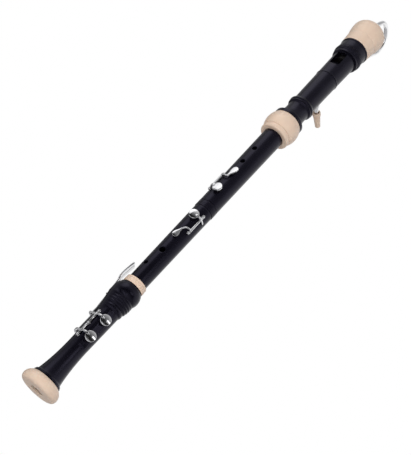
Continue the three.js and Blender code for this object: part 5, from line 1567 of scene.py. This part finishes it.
def mouthpiece_piece():
    socket = bocal.radius + 2 * FIT + bocal.cork_thickness
    collar_top = mouthpiece.collar_length
    groove_top = collar_top + mouthpiece.groove_length
    floor = mouthpiece.body_radius - mouthpiece.groove_depth
    outline = Outline(socket, 0).line(mouthpiece.collar_radius - FIT, 0)
    outline.bulge(mouthpiece.collar_radius, collar_top, mouthpiece.collar_radius + FIT, collar_top / 2, 8)
    outline.line(floor, collar_top).line(floor, groove_top).line(mouthpiece.body_radius, groove_top + FIT)
    outline.line(mouthpiece.tip_radius, mouthpiece.length - FIT)
    outline.line(mouthpiece.tip_radius - FIT, mouthpiece.length)
    outline.line(mouthpiece.bore_radius, mouthpiece.length)
    outline.line(mouthpiece.bore_radius, mouthpiece.overlap + FIT).line(socket, mouthpiece.overlap + FIT)
    mesh = rotated(turned(eased(outline.points, rounding.mouthpiece), 64), -90, "X")
    mesh = shifted(mesh, 0, bocal.reach - mouthpiece.overlap, CAP_BASE + bocal.bend_height)
    finished("mouthpiece_shape", mesh, "mouth_end", ["mouthpiece"], IVORY)


# All pieces, from the bell upwards

bell_ring()
foot_joint()
foot_socket_ring()
for name, height in (("foot_post_low", foot_keys.post_low), ("foot_post_middle", foot_keys.post_middle),
                     ("foot_post_high", foot_keys.post_high)):
    key_post(name, foot_keys, height, foot_radius(height), "foot", FOOT_TOP)
hinge_rod("foot_hinge_rod", foot_keys, foot_keys.post_low, foot_keys.post_high, "foot", FOOT_TOP)
foot_key("low_key", low_hole, foot_keys.post_low, foot_keys.post_middle, -levers.spacing, "low_pad_key")
foot_key("high_key", high_hole, foot_keys.post_middle, foot_keys.post_high, levers.spacing, "high_pad_key")
key_pad("low_key_pad", low_hole, foot_keys.flat_radius, foot_keys, -foot_keys.open, "low_pad_key", FOOT_TOP)
key_pad("high_key_pad", high_hole, foot_keys.flat_radius, foot_keys, -foot_keys.open, "high_pad_key",
        FOOT_TOP)
lever("low_lever", low_hole.height - levers.end_overlap, -levers.spacing, "low_touch")
lever("high_lever", high_hole.height - levers.end_overlap, levers.spacing, "high_touch")
lever_bracket()
lever_pin()
for name, across, height in LEVER_SCREWS:
    lever_screw(name, across, height)

lower_body()
key_post("hole4_key_post_low", hole4_key, hole4_key.post_low, lower_radius(hole4_key.post_low), "lower",
         LOWER_BASE)
key_post("hole4_key_post_high", hole4_key, hole4_key.post_high, lower_radius(hole4_key.post_high), "lower",
         LOWER_BASE)
hinge_rod("hole4_key_rod", hole4_key, hole4_key.post_low, hole4_key.post_high, "lower", LOWER_BASE)
body_key("hole4_key", hole4_key, hole4, lower_radius, hole4_key.open, "index_key", LOWER_BASE,
         [stop_tail(hole4_key, hole4, lower_radius(hole4.height))])
key_pad("hole4_key_pad", hole4, lower_radius(hole4.height), hole4_key, hole4_key.open, "index_key",
        LOWER_BASE)
thumb_rest_piece()
thumb_rest_screw()
strap_eye()
strap_ring()

upper_body()
key_post("hole3_key_post_low", hole3_key, hole3_key.post_low, upper_radius(hole3_key.post_low), "upper",
         UPPER_BASE)
key_post("hole3_key_post_high", hole3_key, hole3_key.post_high, upper_radius(hole3_key.post_high), "upper",
         UPPER_BASE)
hinge_rod("hole3_key_rod", hole3_key, hole3_key.post_low, hole3_key.post_high, "upper", UPPER_BASE)
body_key("hole3_key", hole3_key, hole3, upper_radius, -hole3_key.open, "ring_key", UPPER_BASE)
key_pad("hole3_key_pad", hole3, upper_radius(hole3.height), hole3_key, -hole3_key.open, "ring_key",
        UPPER_BASE)

head_joint()
head_socket_ring()
block()
head_cap()
bocal_socket()
bocal_tube()
mouthpiece_piece()

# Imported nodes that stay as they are, with a finer material

for node, material in (("foot_tenon_cork", CORK), ("middle_tenon_cork", CORK), ("head_tenon_cork", CORK),
                       ("cap_tenon_cork", CORK), ("bocal_cork", CORK), ("mouthpiece_cork", CORK),
                       ("low_key_spring", STEEL), ("high_key_spring", STEEL), ("hole3_key_spring", STEEL),
                       ("hole4_key_spring", STEEL)):
    obj = frame["nodes"][node]
    for slot in obj.material_slots:
        slot.material = material

# Floor and light

FLOOR_HEIGHT = -0.45
TOWARDS_CAMERA = Vector((0.51, -0.73, -0.455))
SHADE_ANGLE = -85
CARD_ANGLE = -118
PAPER_LEVEL = 0.85
ROOM_LEVEL = 0.015
CEILING_LEVEL = 0.45


def floor():
    mesh = bmesh.new()
    half = 6
    corners = [mesh.verts.new((x * half, y * half, FLOOR_HEIGHT))
               for x, y in ((-1, -1), (1, -1), (1, 1), (-1, 1))]
    mesh.faces.new(corners)
    data = bpy.data.meshes.new("floor")
    mesh.to_mesh(data)
    mesh.free()
    nodes = Nodes(bpy.data.materials.new("floor_paper"))
    nodes.link(nodes.mix(nodes.ramp(nodes.noise(3, 3), 0.4, 0.6, 0, 1), (0.82, 0.82, 0.83, 1),
                         (0.86, 0.86, 0.86, 1)), "Base Color")
    nodes.set(Roughness=0.7)
    data.materials.append(nodes.owner)
    obj = bpy.data.objects.new("floor", data)
    bpy.context.scene.collection.objects.link(obj)


def world():
    """White paper behind and beside the object, and a dim room with a pale ceiling on the camera's side.
    The left side is shaded behind its panel and ends in a dark card, so that the metal shows an edge
    against the paper. The camera and the reflections see the paper white; it lights at its own level."""
    made = bpy.data.worlds.new("studio")
    bpy.context.scene.world = made
    nodes = Nodes(made, "Generated")

    def number(operation, first, second=0.0):
        return nodes.add("ShaderNodeMath", {0: first, 1: second}, operation=operation).outputs[0]

    def along(way):
        product = nodes.add("ShaderNodeVectorMath", {0: nodes.place, 1: way}, operation="DOT_PRODUCT")
        return product.outputs["Value"]

    def side(angle):
        turn = math.radians(angle)
        return along(Vector((math.sin(turn), -math.cos(turn), 0)))

    height = nodes.add("ShaderNodeSeparateXYZ", {"Vector": nodes.place}).outputs["Z"]
    facing_camera = along(TOWARDS_CAMERA)
    room = nodes.ramp(height, 0.2, 0.65, ROOM_LEVEL, CEILING_LEVEL)
    behind = nodes.ramp(facing_camera, -0.3, -0.6, 0, 1)
    level_with = nodes.ramp(number("ABSOLUTE", number("SUBTRACT", height, 0.3)), 0.35, 0.6, 1, 0)
    beside = number("MULTIPLY", nodes.ramp(facing_camera, 0.14, 0.5, 1, 0), level_with)
    shade = number("MULTIPLY", nodes.ramp(side(SHADE_ANGLE), 0.35, 0.6, 1, 0.3),
                   nodes.ramp(side(CARD_ANGLE), 0.82, 0.92, 1, 0.15))
    paper = number("MULTIPLY", number("MAXIMUM", behind, beside), shade)
    lit = number("MULTIPLY", paper, PAPER_LEVEL)
    level = number("MAXIMUM", lit, number("MULTIPLY", room, number("SUBTRACT", 1.0, paper)))
    background = nodes.tree.nodes["Background"]
    background.inputs["Color"].default_value = (0.98, 0.985, 1, 1)
    nodes.tree.links.new(level, background.inputs["Strength"])
    white = nodes.add("ShaderNodeBackground", {"Color": (1, 1, 1, 1)})
    rays = nodes.add("ShaderNodeLightPath").outputs
    mirrored = number("MAXIMUM", rays["Is Glossy Ray"], rays["Is Transmission Ray"])
    seen = number("MAXIMUM", rays["Is Camera Ray"], number("MULTIPLY", mirrored, paper))
    mix = nodes.add("ShaderNodeMixShader", {0: seen, 1: background.outputs[0], 2: white.outputs[0]})
    nodes.tree.links.new(mix.outputs[0], nodes.tree.nodes["World Output"].inputs["Surface"])


LIGHTS_AIM_HEIGHT = 0.45


def panel_light(name, angle, rise, distance, width, height, level, mirrored=True):
    """A flat panel that shines at a level, at an angle round the object and a rise above its middle."""
    middle = Vector((0, 0, LIGHTS_AIM_HEIGHT))
    turn, lift = math.radians(angle), math.radians(rise)
    away = Vector((math.sin(turn) * math.cos(lift), -math.cos(turn) * math.cos(lift), math.sin(lift)))
    data = bpy.data.lights.new(name, "AREA")
    data.shape = "RECTANGLE"
    data.size, data.size_y = width, height
    data.energy = level * math.pi * width * height
    obj = bpy.data.objects.new(name, data)
    bpy.context.scene.collection.objects.link(obj)
    turned_in = (-away).to_track_quat("-Z", "Y").to_matrix().to_4x4()
    obj.matrix_world = Matrix.Translation(middle + away * distance) @ turned_in
    obj.visible_glossy = mirrored


CAMERA_PLACE = (0.7399, -1.0567, -0.262)
CAMERA_AIM = (0, 0, 0.3953)


def camera():
    place = Vector(CAMERA_PLACE)
    aim = Vector(CAMERA_AIM)
    roll = 43.07
    data = bpy.data.cameras.new("camera")
    data.lens = 69.2
    data.sensor_width = 36
    data.shift_x = 0.0072
    data.shift_y = -0.0315
    data.clip_start, data.clip_end = 0.01, 30
    obj = bpy.data.objects.new("camera", data)
    bpy.context.scene.collection.objects.link(obj)
    turn = (aim - place).to_track_quat("-Z", "Y").to_matrix().to_4x4()
    obj.matrix_world = Matrix.Translation(place) @ turn @ Matrix.Rotation(math.radians(roll), 4, "Z")
    bpy.context.scene.camera = obj


floor()
world()
panel_light("left_panel", -30, 33, 1.9, 1.4, 1.6, 0.8)
panel_light("right_strip", 62, 7, 1.5, 0.7, 0.2, 2.4)
panel_light("front_fill", 24, -22, 2.1, 1.8, 1.8, 5.6, mirrored=False)
camera()
bpy.context.scene.view_settings.view_transform = "Standard"
